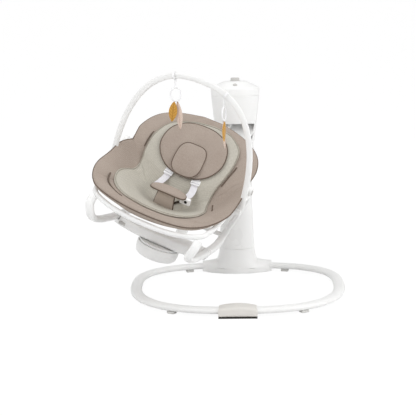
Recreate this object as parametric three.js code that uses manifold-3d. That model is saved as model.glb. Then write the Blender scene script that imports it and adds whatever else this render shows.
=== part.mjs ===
// Infant swing with a lift-off rocker seat.
// Millimetres, +Z up, +Y towards the back. The origin lies on the floor under the tower.
// The seat hangs from an inclined shaft in the tower head and is held at the left end of its swing.

import * as THREE from "three";
import { mergeVertices } from "three/addons/utils/BufferGeometryUtils.js";
import { RoundedBoxGeometry } from "three/addons/geometries/RoundedBoxGeometry.js";
import Module from "manifold-3d";

const wasm = await Module();
wasm.setup();

// ---------------------------------------------------------------- driving dimensions

const GAP = 0.3;

// base ring, an oval tube bent into a rounded loop
const RING_WIDTH = 720;
const RING_DEPTH = 623;
const RING_WIDEST = 245;
const RING_ROUNDNESS = 2.6;
const RING_TUBE_WIDTH = 38;
const RING_TUBE_HEIGHT = 20;
const RING_LIFT = 9;
const GLIDE_LENGTH = 26;
const GLIDE_BACK_X = 173;
const GLIDE_FRONT_X = 205;

// foot cover over the front joint of the ring
const FOOT_WIDTH = 120;
const FOOT_DEPTH = 58;
const FOOT_HEIGHT = 37;

// housing and tower
const HOUSING_WIDTH = 252;
const HOUSING_DEPTH = 130;
const HOUSING_HEIGHT = 56;
const SOLE_THICKNESS = 2.7;
const SOCKET_INSERT = 22;
const SKIRT_TOP = 90;
const SHELL_WALL = 3;
const SHELL_TOP = 640;
const WAIST_WIDTH = 113;
const HEAD_WIDTH = 171;
const CAP_RIM = 667;
const CAP_TOP = 690;
const CAP_FLAT = 38;
const KNOB_RADIUS = 16.5;
const KNOB_HEIGHT = 11.5;
const BUTTON_RADIUS = 7.5;

// neck window that the arm swings in
const WINDOW_LOW = 455;
const WINDOW_HIGH = 543;
const WINDOW_WIDTH = 158;
const WINDOW_FRONT = 30;

// swing drive: inclined shaft, its bearings, crank and motor
const PIVOT_HEIGHT = 600;
const SHAFT_TILT = 35;
const SWING_REST = 25.5;
const SHAFT_RADIUS = 8;
const SHAFT_FRONT = -30;
const SHAFT_BACK = 50;
const BEARING_RADIUS = 14;
const PLATE_THICKNESS = 6;
const FRONT_PLATE = -20;
const REAR_PLATE = 30;
const COLLAR_RADIUS = 24;
const COLLAR_FRONT = -6;
const COLLAR_BACK = 22;
const LEVER_FRONT = 40;
const LEVER_THICKNESS = 6;
const CRANK_CENTRE = 36;
const CRANK_THICKNESS = 5;
const CRANK_PIN_RADIUS = 3;
const MOTOR_RADIUS = 13;
const MOTOR_LENGTH = 34;

// swing arm and turntable
const ARM_WIDTH = 38;
const ARM_THICKNESS = 28;
const HUB_FORWARD = 365;
const HUB_RADIUS = 72;
const HUB_LOW = 82;
const HUB_HIGH = 124;
const HUB_WALL = 4;
const SPINDLE_RADIUS = 10;
const PLATE_RADIUS = 67;
const TURNTABLE_THICKNESS = 6;

// cradle that the rocker clips into
const CRADLE_HALF = 166;
const CRADLE_DEPTH = 80;
const CRADLE_TOP = 172;
const CRADLE_WALL = 4;

// rocker frame
const RAIL_X = 162;
const RAIL_WIDTH = 26;
const RAIL_HEIGHT = 20;
const RAIL_SEAT = 157;
const FRAME_TUBE = 8;
const BACK_TUBE = 7;
const HINGE_HEIGHT = 404;
const HINGE_RADIUS = 18;
const HINGE_CLEARANCE = 4;
const HINGE_WIDTH = 14;
const PADDLE_THICKNESS = 7.2;
const RECLINE_BUTTON_RADIUS = 8;

// toy bar
const BAR_FOOT_Y = -62;
const BAR_FOOT_Z = 345;
const BAR_CLEARANCE = 15;
const BAR_RISE = 366;
const BAR_LEAN = 17.5;
const BAR_SECTION = 9.5;
const BAR_DEPTH = 5;
const SOCKET_THICKNESS = 6.5;
const BAR_ROUNDNESS = 2.45;

// soft parts
const PAD_HALF_WIDTH = 212;
const PAD_FRONT = 277;
const PAD_FRONT_TOP = 277;
const PAD_THICKNESS = 24;
const LINER_THICKNESS = 12;
const SOFT_GAP = 2.8;

// widths that follow the pad, so that the hinges and the toy bar stand just outside it
const HINGE_INNER = PAD_HALF_WIDTH + HINGE_CLEARANCE;
const HINGE_OUTER = HINGE_INNER + HINGE_WIDTH;
const PADDLE_INNER = HINGE_INNER - GAP - PADDLE_THICKNESS;
const BAR_HALF_WIDTH = PAD_HALF_WIDTH + BAR_CLEARANCE;
const SOCKET_OUTER = HINGE_INNER + GAP + 0.2;
const SOCKET_INNER = SOCKET_OUTER - SOCKET_THICKNESS;

// ---------------------------------------------------------------- materials

const finish = (color, roughness, metalness = 0) =>
  new THREE.MeshStandardMaterial({ color, roughness, metalness });

const WHITE = finish(0xf4f4f2, 0.4);
const WARM_GREY = finish(0xdedad4, 0.5);
const RUBBER = finish(0x3d3a38, 0.85);
const GREY = finish(0xb9b7b4, 0.5);
const STEEL = finish(0xb8bcc0, 0.35, 0.9);
const BRONZE = finish(0xa98850, 0.45, 0.8);
const CIRCUIT = finish(0x2f6b45, 0.6);
const DARK = finish(0x2b2b2d, 0.55);
const TAUPE = finish(0xb4a69c, 0.9);
const STONE = finish(0xc8c3b6, 0.9);
const AMBER = finish(0xd6a03c, 0.85);
const PALE = finish(0xe4d4c8, 0.9);
const WEBBING = finish(0xeeecf0, 0.8);

// ---------------------------------------------------------------- geometry helpers

const V = (x, y, z) => new THREE.Vector3(x, y, z);
const rad = THREE.MathUtils.degToRad;
const mix = THREE.MathUtils.lerp;
const SIDES = [["left", -1], ["right", 1]];

// A point on a superellipse with half sizes a and b; power 2 is an ellipse, more is squarer.
function ovalPoint(a, b, power, angle) {
  const c = Math.cos(angle);
  const s = Math.sin(angle);
  const bend = 2 / power;
  return [a * Math.sign(c) * Math.abs(c) ** bend, b * Math.sign(s) * Math.abs(s) ** bend];
}

// A ring of points round a centre, in the plane of the unit vectors u and v.
function ovalRing(centre, u, v, a, b, power, count) {
  return Array.from({ length: count }, (_, i) => {
    const [p, q] = ovalPoint(a, b, power, (2 * Math.PI * i) / count);
    return centre.clone().addScaledVector(u, p).addScaledVector(v, q);
  });
}

function meshFrom(points, triangles) {
  const geometry = new THREE.BufferGeometry();
  const flat = points.flatMap((p) => [p.x, p.y, p.z]);
  geometry.setAttribute("position", new THREE.Float32BufferAttribute(flat, 3));
  let volume = 0;
  for (const [a, b, c] of triangles) {
    volume += points[a].dot(points[b].clone().cross(points[c]));
  }
  const turned = volume < 0 ? triangles.map(([a, b, c]) => [a, c, b]) : triangles;
  geometry.setIndex(turned.flat());
  return geometry;
}

// A closed solid through rings of equal count, its two ends closed by a fan.
function loft(rings) {
  const count = rings[0].length;
  const points = rings.flat();
  const triangles = [];
  for (let r = 0; r + 1 < rings.length; r += 1) {
    for (let i = 0; i < count; i += 1) {
      const a = r * count + i;
      const b = r * count + ((i + 1) % count);
      triangles.push([a, b, b + count], [a, b + count, a + count]);
    }
  }
  for (const end of [0, rings.length - 1]) {
    const centre = rings[end].reduce((sum, p) => sum.add(p), V(0, 0, 0)).divideScalar(count);
    points.push(centre);
    for (let i = 0; i < count; i += 1) {
      const a = end * count + i;
      const b = end * count + ((i + 1) % count);
      triangles.push(end === 0 ? [points.length - 1, b, a] : [points.length - 1, a, b]);
    }
  }
  return meshFrom(points, triangles);
}

// A tube of oval section along a path; side is the section's first direction.
function sweep(path, steps, a, b, options = {}) {
  const { side = V(1, 0, 0), power = 2.4, count = 12, grow = 0, taper = () => 1 } = options;
  const rings = [];
  for (let i = 0; i <= steps; i += 1) {
    const t = i / steps;
    const tangent = path.getTangent(t);
    const normal = tangent.clone().cross(side).normalize();
    const first = normal.clone().cross(tangent).normalize();
    rings.push(ovalRing(path.getPoint(t), first, normal, a * taper(t) + grow, b + grow, power, count));
  }
  return loft(rings);
}

const throughPoints = (points) => new THREE.CatmullRomCurve3(points, false, "centripetal");

// A sheet of even thickness: surface(u, t) is its face and lift(u, t) the direction it is built up in.
function slab(surface, lift, low, high, { halfU, fromT = 0, toT = 1, nu = 12, nt = 8 }) {
  const points = [];
  const triangles = [];
  const index = (layer, j, i) => (layer * (nt + 1) + j) * (nu + 1) + i;
  for (const height of [low, high]) {
    for (let j = 0; j <= nt; j += 1) {
      for (let i = 0; i <= nu; i += 1) {
        const t = mix(fromT, toT, j / nt);
        const [centre, half] = halfU(t, j / nt);
        const u = centre + half * ((2 * i) / nu - 1);
        points.push(surface(u, t).addScaledVector(lift, height));
      }
    }
  }
  const quad = (a, b, c, d) => triangles.push([a, b, c], [a, c, d]);
  for (let j = 0; j < nt; j += 1) {
    for (let i = 0; i < nu; i += 1) {
      quad(index(1, j, i), index(1, j, i + 1), index(1, j + 1, i + 1), index(1, j + 1, i));
      quad(index(0, j, i), index(0, j + 1, i), index(0, j + 1, i + 1), index(0, j, i + 1));
    }
    quad(index(0, j, 0), index(1, j, 0), index(1, j + 1, 0), index(0, j + 1, 0));
    quad(index(0, j + 1, nu), index(1, j + 1, nu), index(1, j, nu), index(0, j, nu));
  }
  for (let i = 0; i < nu; i += 1) {
    quad(index(0, 0, i + 1), index(1, 0, i + 1), index(1, 0, i), index(0, 0, i));
    quad(index(0, nt, i), index(1, nt, i), index(1, nt, i + 1), index(0, nt, i + 1));
  }
  return meshFrom(points, triangles);
}

// A cylinder along an axis, from one point to another.
function rod(from, to, radius, count = 20) {
  const length = from.distanceTo(to);
  const geometry = new THREE.CylinderGeometry(radius, radius, length, count);
  const turn = new THREE.Quaternion().setFromUnitVectors(V(0, 1, 0), to.clone().sub(from).normalize());
  geometry.applyQuaternion(turn);
  const middle = from.clone().add(to).multiplyScalar(0.5);
  return geometry.translate(middle.x, middle.y, middle.z);
}

// A turned solid about Z; the profile is a list of [radius, height] from axis to axis.
function turned(profile, count = 30) {
  const geometry = new THREE.LatheGeometry(profile.map(([r, z]) => new THREE.Vector2(r, z)), count);
  return geometry.rotateX(Math.PI / 2);
}

// A washer or bush about Z between two radii.
function bush(inner, outer, low, high, count = 24) {
  return turned([[inner, low], [outer, low], [outer, high], [inner, high], [inner, low]], count);
}

function block(x0, x1, y0, y1, z0, z1) {
  const geometry = new THREE.BoxGeometry(x1 - x0, y1 - y0, z1 - z0);
  return geometry.translate((x0 + x1) / 2, (y0 + y1) / 2, (z0 + z1) / 2);
}

function softBlock(x0, x1, y0, y1, z0, z1, radius) {
  const geometry = new RoundedBoxGeometry(x1 - x0, y1 - y0, z1 - z0, 1, radius);
  return geometry.translate((x0 + x1) / 2, (y0 + y1) / 2, (z0 + z1) / 2);
}

function signedVolume(geometry) {
  const p = geometry.getAttribute("position");
  const index = geometry.index;
  const corner = (i) => new THREE.Vector3().fromBufferAttribute(p, index.getX(i));
  let volume = 0;
  for (let i = 0; i < index.count; i += 3) {
    volume += corner(i).dot(corner(i + 1).cross(corner(i + 2)));
  }
  return volume;
}

function toManifold(geometry) {
  const bare = geometry.clone();
  for (const name of Object.keys(bare.attributes)) {
    if (name !== "position") {
      bare.deleteAttribute(name);
    }
  }
  const merged = mergeVertices(bare, 1e-4);
  const triangles = new Uint32Array(merged.index.array);
  if (signedVolume(merged) < 0) {
    for (let i = 0; i < triangles.length; i += 3) {
      [triangles[i + 1], triangles[i + 2]] = [triangles[i + 2], triangles[i + 1]];
    }
  }
  const mesh = new wasm.Mesh({
    numProp: 3,
    vertProperties: new Float32Array(merged.getAttribute("position").array),
    triVerts: triangles,
  });
  mesh.merge();
  return new wasm.Manifold(mesh);
}

function fromManifold(solid) {
  const mesh = solid.getMesh();
  const geometry = new THREE.BufferGeometry();
  geometry.setAttribute("position", new THREE.BufferAttribute(mesh.vertProperties, 3));
  geometry.setIndex(new THREE.BufferAttribute(mesh.triVerts, 1));
  return geometry;
}

const cut = (body, ...tools) =>
  fromManifold(tools.reduce((solid, tool) => solid.subtract(toManifold(tool)), toManifold(body)));
const join = (body, ...others) =>
  fromManifold(others.reduce((solid, other) => solid.add(toManifold(other)), toManifold(body)));
const common = (body, other) => fromManifold(toManifold(body).intersect(toManifold(other)));

const root = new THREE.Group();

function add(parent, name, geometry, material) {
  const mesh = new THREE.Mesh(geometry, material);
  mesh.name = name;
  parent.add(mesh);
  return mesh;
}

// ---------------------------------------------------------------- base ring and its feet

const ringCentreZ = RING_LIFT + RING_TUBE_HEIGHT / 2;
const ringHalf = (RING_WIDTH - RING_TUBE_WIDTH) / 2;
const ringLength = RING_DEPTH - RING_TUBE_WIDTH;

// Centre line of one half of the ring; t runs from 0 at the back to 1 at the front.
function ringPoint(side, t) {
  const angle = t * Math.PI;
  const reach = angle < Math.PI / 2 ? RING_WIDEST : ringLength - RING_WIDEST;
  const [across, along] = ovalPoint(ringHalf, reach, RING_ROUNDNESS, Math.PI / 2 - angle);
  return V(side * Math.abs(across), along - RING_WIDEST, ringCentreZ);
}

// The t at which the centre line lies at distance x from the middle, near the back or the front.
function ringAt(x, atFront) {
  const angle = Math.acos((x / ringHalf) ** (RING_ROUNDNESS / 2));
  return atFront ? 0.5 + angle / Math.PI : 0.5 - angle / Math.PI;
}

// The section's wide direction must stay level, so the ring is swept with Z as its second axis.
function ringTube(side, fromX, toX, steps, grow = 0) {
  const start = ringAt(fromX, false);
  const end = ringAt(toX, true);
  const rings = [];
  for (let i = 0; i <= steps; i += 1) {
    const t = mix(start, end, i / steps);
    const before = ringPoint(side, Math.max(0, t - 0.002));
    const after = ringPoint(side, Math.min(1, t + 0.002));
    const out = after.sub(before).normalize().cross(V(0, 0, 1));
    const half = RING_TUBE_WIDTH / 2 + grow;
    rings.push(ovalRing(ringPoint(side, t), out, V(0, 0, 1), half, RING_TUBE_HEIGHT / 2 + grow, 2.3, 12));
  }
  return loft(rings);
}

const housingHalf = HOUSING_WIDTH / 2;
const frontY = -ringLength;
for (const [name, side] of SIDES) {
  add(root, `base_ring_${name}`, ringTube(side, housingHalf - SOCKET_INSERT, GAP, 20), WHITE);
  for (const [place, x, atFront] of [["back", GLIDE_BACK_X, false], ["front", GLIDE_FRONT_X, true]]) {
    const spot = ringPoint(side, ringAt(x, atFront));
    const top = RING_LIFT - GAP;
    const glide = new RoundedBoxGeometry(GLIDE_LENGTH, 20, top, 1, 2).translate(0, 0, top / 2);
    const next = ringPoint(side, ringAt(x + 1, atFront));
    glide.rotateZ(Math.atan2(next.y - spot.y, next.x - spot.x));
    add(root, `glide_${place}_${name}`, glide.translate(spot.x, spot.y, 0), RUBBER);
  }
}

// Arched cover; its tunnel is the ring tube and a clearance.
const footStations = [-1, -0.9, -0.6, -0.3, 0, 0.3, 0.6, 0.9, 1];
const footCover = loft(footStations.map((s) => {
  const top = mix(FOOT_HEIGHT, FOOT_HEIGHT - 8, s * s);
  const low = RING_LIFT;
  const centre = V((s * FOOT_WIDTH) / 2, frontY, (top + low) / 2);
  const trim = Math.abs(s) === 1 ? 3 : 0;
  return ovalRing(centre, V(0, 1, 0), V(0, 0, 1), FOOT_DEPTH / 2 - trim, (top - low) / 2 - trim, 5, 20);
}));
const ringTool = (side) => ringTube(side, housingHalf, GAP / 2, 20, GAP);
const middleTool = sweep(
  new THREE.LineCurve3(V(-4, frontY, ringCentreZ), V(4, frontY, ringCentreZ)),
  1, RING_TUBE_WIDTH / 2 + GAP, RING_TUBE_HEIGHT / 2 + GAP, { side: V(0, 1, 0), power: 2.3, count: 12 },
);
add(root, "foot_cover", cut(footCover, ringTool(-1), ringTool(1), middleTool), WARM_GREY);
const gripHalf = FOOT_WIDTH / 2 + 1;
const gripReach = FOOT_DEPTH / 2 + 1;
add(root, "foot_grip", softBlock(
  -gripHalf, gripHalf, frontY - gripReach, frontY + gripReach, 0, RING_LIFT - GAP, 3,
), RUBBER);

// ---------------------------------------------------------------- housing and tower

// Half depth and height of the housing along its width; s is 0 in the middle and 1 at an end.
function housingRing(x, inset) {
  const s = Math.min(1, Math.abs(x) / housingHalf);
  const ease = s * s * (3 - 2 * s);
  const depth = mix(HOUSING_DEPTH / 2, RING_TUBE_WIDTH / 2 + 7, ease) - inset;
  const top = mix(HOUSING_HEIGHT, RING_LIFT + RING_TUBE_HEIGHT + 8, ease) - inset;
  const low = SOLE_THICKNESS + GAP - (inset ? 1 : 0);
  const upper = Array.from({ length: 11 }, (_, i) => {
    const [y, z] = ovalPoint(depth, top - low, 2.6, (Math.PI * i) / 10);
    return V(x, y, low + z);
  });
  const lower = [-0.6, 0, 0.6].map((share) => V(x, share * depth, low));
  return [...upper, ...lower];
}

function housingLoft(inset) {
  const end = housingHalf - inset;
  const stations = 10;
  return loft(Array.from({ length: stations + 1 }, (_, i) => housingRing(mix(-end, end, i / stations), inset)));
}

// Width and depth of the tower by height: wide foot, slim waist and round head.
const towerStations = [
  [20, WAIST_WIDTH + 74, HOUSING_DEPTH - 6],
  [40, WAIST_WIDTH + 40, HOUSING_DEPTH - 10],
  [62, WAIST_WIDTH + 22, HOUSING_DEPTH - 16],
  [SKIRT_TOP, WAIST_WIDTH + 14, HOUSING_DEPTH - 22],
  [210, WAIST_WIDTH + 5, 98],
  [330, WAIST_WIDTH, 96],
  [450, mix(WAIST_WIDTH, HEAD_WIDTH, 0.25), 112],
  [543, mix(WAIST_WIDTH, HEAD_WIDTH, 0.64), 142],
  [616, HEAD_WIDTH - 5, HEAD_WIDTH - 9],
  [SHELL_TOP, HEAD_WIDTH, HEAD_WIDTH - 4],
];

function towerSize(z) {
  let k = 0;
  while (k + 2 < towerStations.length && z > towerStations[k + 1][0]) {
    k += 1;
  }
  const at = (n, column) => towerStations[Math.min(Math.max(n, 0), towerStations.length - 1)][column];
  const share = (z - at(k, 0)) / (at(k + 1, 0) - at(k, 0));
  const curve = (column) => {
    const slope = (n) => (at(n + 1, column) - at(n - 1, column)) / Math.max(1, at(n + 1, 0) - at(n - 1, 0));
    const span = at(k + 1, 0) - at(k, 0);
    const [s2, s3] = [share * share, share * share * share];
    return (2 * s3 - 3 * s2 + 1) * at(k, column) + (s3 - 2 * s2 + share) * span * slope(k)
      + (3 * s2 - 2 * s3) * at(k + 1, column) + (s3 - s2) * span * slope(k + 1);
  };
  return [curve(1) / 2, curve(2) / 2];
}

function towerLoft(low, high, inset, levels) {
  return loft(Array.from({ length: levels + 1 }, (_, i) => {
    const z = mix(low, high, i / levels);
    const [a, b] = towerSize(Math.min(z, SHELL_TOP));
    return ovalRing(V(0, 0, z), V(1, 0, 0), V(0, 1, 0), a - inset, b - inset, 2.15, 24);
  }));
}

const inletHeight = 24;
const inletRadius = 6.5;
const inletBack = HOUSING_DEPTH / 2;
const inletHole = rod(V(0, inletBack - 30, inletHeight), V(0, inletBack + 5, inletHeight), inletRadius + GAP, 20);
const housingShell = cut(
  join(housingLoft(0), towerLoft(20, SKIRT_TOP, 0, 4)),
  housingLoft(SHELL_WALL),
  towerLoft(18, SKIRT_TOP + 1, SHELL_WALL, 4),
  ringTube(-1, housingHalf - SOCKET_INSERT - 10, housingHalf + 60, 20, GAP),
  ringTube(1, housingHalf - SOCKET_INSERT - 10, housingHalf + 60, 20, GAP),
  inletHole,
);
add(root, "base_housing", housingShell, WHITE);

const soleRing = (z) =>
  ovalRing(V(0, 0, z), V(1, 0, 0), V(0, 1, 0), housingHalf - 8, HOUSING_DEPTH / 2 - 14, 2.2, 32);
add(root, "base_sole", loft([soleRing(0), soleRing(SOLE_THICKNESS)]), WHITE);
add(root, "dc_socket", cut(
  rod(V(0, inletBack - 20, inletHeight), V(0, inletBack - 2, inletHeight), inletRadius, 20),
  rod(V(0, inletBack - 13, inletHeight), V(0, inletBack, inletHeight), 3.2, 16),
), DARK);

const shellLow = SKIRT_TOP + GAP;
const towerShell = cut(
  towerLoft(shellLow, SHELL_TOP, 0, 12),
  towerLoft(shellLow - 1, SHELL_TOP + 1, SHELL_WALL, 12),
);
const windowShape = new THREE.Shape();
const windowCorner = 14;
const windowHalf = WINDOW_WIDTH / 2;
windowShape.moveTo(-windowHalf, WINDOW_LOW + windowCorner);
windowShape.absarc(-windowHalf + windowCorner, WINDOW_HIGH - windowCorner, windowCorner, Math.PI, Math.PI / 2, true);
windowShape.absarc(windowHalf - windowCorner, WINDOW_HIGH - windowCorner, windowCorner, Math.PI / 2, 0, true);
windowShape.absarc(windowHalf - windowCorner, WINDOW_LOW + windowCorner, windowCorner, 0, -Math.PI / 2, true);
windowShape.absarc(-windowHalf + windowCorner, WINDOW_LOW + windowCorner, windowCorner, -Math.PI / 2, -Math.PI, true);
const windowTool = new THREE.ExtrudeGeometry(windowShape, { depth: 90, bevelEnabled: false, curveSegments: 5 });
windowTool.rotateX(Math.PI / 2).translate(0, -WINDOW_FRONT, 0);
const big = 400;
const frontHalf = block(-big, big, -big, -GAP / 2, 0, 800);
const rearHalf = block(-big, big, GAP / 2, big, 0, 800);
add(root, "tower_front", cut(common(towerShell, frontHalf), windowTool), WHITE);

// The loudspeaker stands in a short collar on the rear shell.
const speakerHeight = 200;
const speakerRadius = 24;
const [, speakerDepth] = towerSize(speakerHeight);
const speakerBack = speakerDepth - SHELL_WALL - 6;
const speakerSeat = common(
  bush(speakerRadius + GAP, speakerRadius + 4, 0, 40).rotateX(-Math.PI / 2)
    .translate(0, speakerBack - 8, speakerHeight),
  towerLoft(shellLow, SHELL_TOP, SHELL_WALL / 2, 12),
);
add(root, "tower_rear", join(common(towerShell, rearHalf), speakerSeat), WHITE);
add(root, "speaker", join(
  rod(V(0, speakerBack - 6, speakerHeight), V(0, speakerBack, speakerHeight), speakerRadius, 28),
  rod(V(0, speakerBack - 20, speakerHeight), V(0, speakerBack - 5, speakerHeight), 13, 20),
), DARK);

// ---------------------------------------------------------------- cap, knob, button and board

const capRing = (z, a, b) => ovalRing(V(0, 0, z), V(1, 0, 0), V(0, 1, 0), a, b, 2.1, 28);
const [headA, headB] = towerSize(SHELL_TOP);
const capOuter = loft([
  capRing(SHELL_TOP + GAP, headA, headB),
  capRing(CAP_RIM - 3, headA + 0.5, headB + 0.5),
  capRing(CAP_RIM + 1, headA - 1.5, headB - 1.5),
  capRing(CAP_TOP - 1.5, CAP_FLAT + 2.5, CAP_FLAT + 2.5),
  capRing(CAP_TOP, CAP_FLAT, CAP_FLAT),
]);
const capInner = loft([
  capRing(SHELL_TOP - 1, headA - SHELL_WALL, headB - SHELL_WALL),
  capRing(CAP_RIM - 4, headA - SHELL_WALL, headB - SHELL_WALL),
  capRing(CAP_TOP - 4, CAP_FLAT, CAP_FLAT),
]);
const boardTop = 650;
const bosses = [[-32, -16], [32, -16], [0, 30]].map(([x, y]) =>
  rod(V(x, y, boardTop + GAP), V(x, y, CAP_TOP - 3), 3.5, 12));
const stemRadius = 3;
const coneRise = CAP_TOP - 1.5 - (CAP_RIM + 1);
const coneRun = headB - 1.5 - (CAP_FLAT + 2.5);
const coneNormal = V(0, -coneRise, coneRun).normalize();
const buttonSpot = V(0, -(headB - 1.5 - coneRun / 2), CAP_RIM + 1 + coneRise / 2);
const along = (distance) => buttonSpot.clone().addScaledVector(coneNormal, distance);
add(root, "head_cap", cut(
  join(cut(capOuter, capInner), ...bosses),
  rod(V(0, 0, CAP_TOP - 12), V(0, 0, CAP_TOP + 5), stemRadius + GAP, 16),
  rod(along(-12), along(8), BUTTON_RADIUS + 0.4, 24),
), WHITE);
add(root, "speed_knob", turned([
  [0, boardTop + GAP], [stemRadius, boardTop + GAP], [stemRadius, CAP_TOP + GAP],
  [KNOB_RADIUS, CAP_TOP + GAP], [KNOB_RADIUS, CAP_TOP + KNOB_HEIGHT - 2],
  [KNOB_RADIUS - 2, CAP_TOP + KNOB_HEIGHT], [0, CAP_TOP + KNOB_HEIGHT],
], 32), GREY);
add(root, "power_button", rod(along(-6), along(2.5), BUTTON_RADIUS, 24), GREY);
add(root, "control_board", block(-44, 44, -26, 38, boardTop - 1.6, boardTop), CIRCUIT);

// ---------------------------------------------------------------- swing drive

// Drive parts are laid out with Y along the inclined shaft and the arm hanging along -Z.
const driveMatrix = new THREE.Matrix4().makeRotationX(-rad(SHAFT_TILT)).setPosition(0, 0, PIVOT_HEIGHT);
const inDrive = (geometry) => geometry.applyMatrix4(driveMatrix);
const ringOnShaft = (inner, outer, from, to, count) =>
  bush(inner, outer, -to, -from, count).rotateX(Math.PI / 2);
const shaftRod = (radius, from, to, x = 0, z = 0, count = 20) => rod(V(x, from, z), V(x, to, z), radius, count);

const plateTop = 32;
const gearLow = -74;
const frontPlate = block(-95, 95, FRONT_PLATE, FRONT_PLATE + PLATE_THICKNESS, -24, plateTop);
const rearPlate = block(-95, 95, REAR_PLATE, REAR_PLATE + PLATE_THICKNESS, gearLow, plateTop);
const bridge = block(-16, 16, FRONT_PLATE + 1, REAR_PLATE + 1, COLLAR_RADIUS + 2, plateTop);
const pivotFrame = inDrive(cut(
  join(frontPlate, rearPlate, bridge),
  shaftRod(BEARING_RADIUS + GAP / 2, -60, 80, 0, 0, 28),
));
add(root, "pivot_frame", common(pivotFrame, towerLoft(shellLow, SHELL_TOP - 1, SHELL_WALL + GAP, 12)), WARM_GREY);
for (const [name, start] of [["front", FRONT_PLATE], ["rear", REAR_PLATE]]) {
  const bearing = ringOnShaft(SHAFT_RADIUS + GAP / 2, BEARING_RADIUS, start - 1, start + PLATE_THICKNESS + 1);
  add(root, `bearing_${name}`, inDrive(bearing), BRONZE);
}

const leverBack = LEVER_FRONT + LEVER_THICKNESS;
const crankFront = leverBack + 4;
const crankBack = crankFront + CRANK_THICKNESS;
const crankReach = CRANK_CENTRE * Math.sin(rad(SWING_REST));
const pinDistance = CRANK_CENTRE * Math.cos(rad(SWING_REST));
const pinX = -pinDistance * Math.sin(rad(SWING_REST));
const pinZ = -pinDistance * Math.cos(rad(SWING_REST));
const gearFront = crankBack + 1;
const gearBack = gearFront + 18;
const gearHole = 4 + GAP;
add(root, "crank_wheel", inDrive(join(
  shaftRod(crankReach + 5, crankFront, crankBack, 0, -CRANK_CENTRE, 28),
  shaftRod(CRANK_PIN_RADIUS, leverBack + 0.6, crankFront + 1, pinX, pinZ, 12),
  shaftRod(4, crankBack - 1, gearFront + 8, 0, -CRANK_CENTRE, 16),
)), WARM_GREY);
add(root, "gear_case", inDrive(cut(
  join(
    block(-26, 26, gearFront, gearBack, gearLow, -4),
    shaftRod(3.5, REAR_PLATE + PLATE_THICKNESS + GAP, gearFront + 1, -22, -8, 12),
    shaftRod(3.5, REAR_PLATE + PLATE_THICKNESS + GAP, gearFront + 1, 22, -8, 12),
    shaftRod(3.5, REAR_PLATE + PLATE_THICKNESS + GAP, gearFront + 1, 0, gearLow + 5, 12),
  ),
  shaftRod(gearHole, gearFront - 1, gearFront + 9, 0, -CRANK_CENTRE, 16),
)), DARK);
const motorTop = gearLow - GAP;
const motorMiddle = (gearFront + gearBack) / 2 - 1;
add(root, "drive_motor", inDrive(rod(
  V(0, motorMiddle, motorTop - MOTOR_LENGTH), V(0, motorMiddle, motorTop), MOTOR_RADIUS, 24,
)), STEEL);

// ---------------------------------------------------------------- everything that swings

const shaftAxis = V(0, 1, 0).applyAxisAngle(V(1, 0, 0), -rad(SHAFT_TILT));
const swing = new THREE.Group();
swing.quaternion.setFromAxisAngle(shaftAxis, rad(SWING_REST));
const pivot = V(0, 0, PIVOT_HEIGHT);
swing.position.copy(pivot).sub(pivot.clone().applyQuaternion(swing.quaternion));
root.add(swing);

add(swing, "pivot_shaft", inDrive(shaftRod(SHAFT_RADIUS, SHAFT_FRONT, SHAFT_BACK, 0, 0, 24)), STEEL);
const slotLow = CRANK_CENTRE + crankReach + CRANK_PIN_RADIUS + 1;
const slotHigh = CRANK_CENTRE - crankReach - CRANK_PIN_RADIUS - 1;
const slotHalf = CRANK_PIN_RADIUS + 0.6;
add(swing, "drive_lever", inDrive(cut(
  join(
    shaftRod(SHAFT_RADIUS + 5, LEVER_FRONT, leverBack, 0, 0, 28),
    block(-8, 8, LEVER_FRONT, leverBack, -slotLow - 5, -4),
  ),
  shaftRod(SHAFT_RADIUS + GAP / 2, LEVER_FRONT - 1, leverBack + 1, 0, 0, 24),
  block(-slotHalf, slotHalf, LEVER_FRONT - 1, leverBack + 1, -slotLow, -slotHigh),
)), STEEL);

// The arm leaves the head forwards, drops close to the tower and turns in under the seat.
const collarMiddle = (COLLAR_FRONT + COLLAR_BACK) / 2;
const inHead = (distance) => V(0, collarMiddle, -distance).applyMatrix4(driveMatrix);
const armBack = -106;
const armUnder = 101;
const armPath = throughPoints([
  inHead(12), inHead(60), inHead(120), inHead(170),
  V(0, armBack + 2, 400), V(0, armBack, 320), V(0, armBack, 200), V(0, armBack - 8, 142),
  V(0, armBack - 36, 110), V(0, armBack - 90, armUnder), V(0, -HUB_FORWARD + HUB_RADIUS - 18, armUnder),
]);
add(swing, "swing_arm", cut(
  join(
    sweep(armPath, 26, ARM_WIDTH / 2, ARM_THICKNESS / 2, { power: 3, count: 12 }),
    inDrive(shaftRod(COLLAR_RADIUS, COLLAR_FRONT, COLLAR_BACK, 0, 0, 28)),
  ),
  inDrive(shaftRod(SHAFT_RADIUS + GAP / 2, -40, 60, 0, 0, 24)),
), WHITE);

// Places under the seat are measured from the turntable's axis.
const seat = new THREE.Group();
seat.position.set(0, -HUB_FORWARD, 0);
swing.add(seat);

const hubCup = cut(
  turned([
    [0, HUB_LOW], [HUB_RADIUS - 12, HUB_LOW], [HUB_RADIUS - 3, HUB_LOW + 8], [HUB_RADIUS, HUB_LOW + 22],
    [HUB_RADIUS, HUB_HIGH], [0, HUB_HIGH],
  ]),
  bush(SPINDLE_RADIUS + 6, HUB_RADIUS - HUB_WALL - 6, HUB_LOW + HUB_WALL, HUB_HIGH + 1, 30),
  rod(V(0, 0, HUB_LOW + 10), V(0, 0, HUB_HIGH + 1), SPINDLE_RADIUS + GAP, 24),
  sweep(
    new THREE.LineCurve3(V(0, HUB_RADIUS - 30, armUnder), V(0, HUB_RADIUS + 30, armUnder)),
    1, ARM_WIDTH / 2 + GAP, ARM_THICKNESS / 2 + GAP, { power: 3, count: 12 },
  ),
);
add(seat, "turntable_base", hubCup, WHITE);

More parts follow.
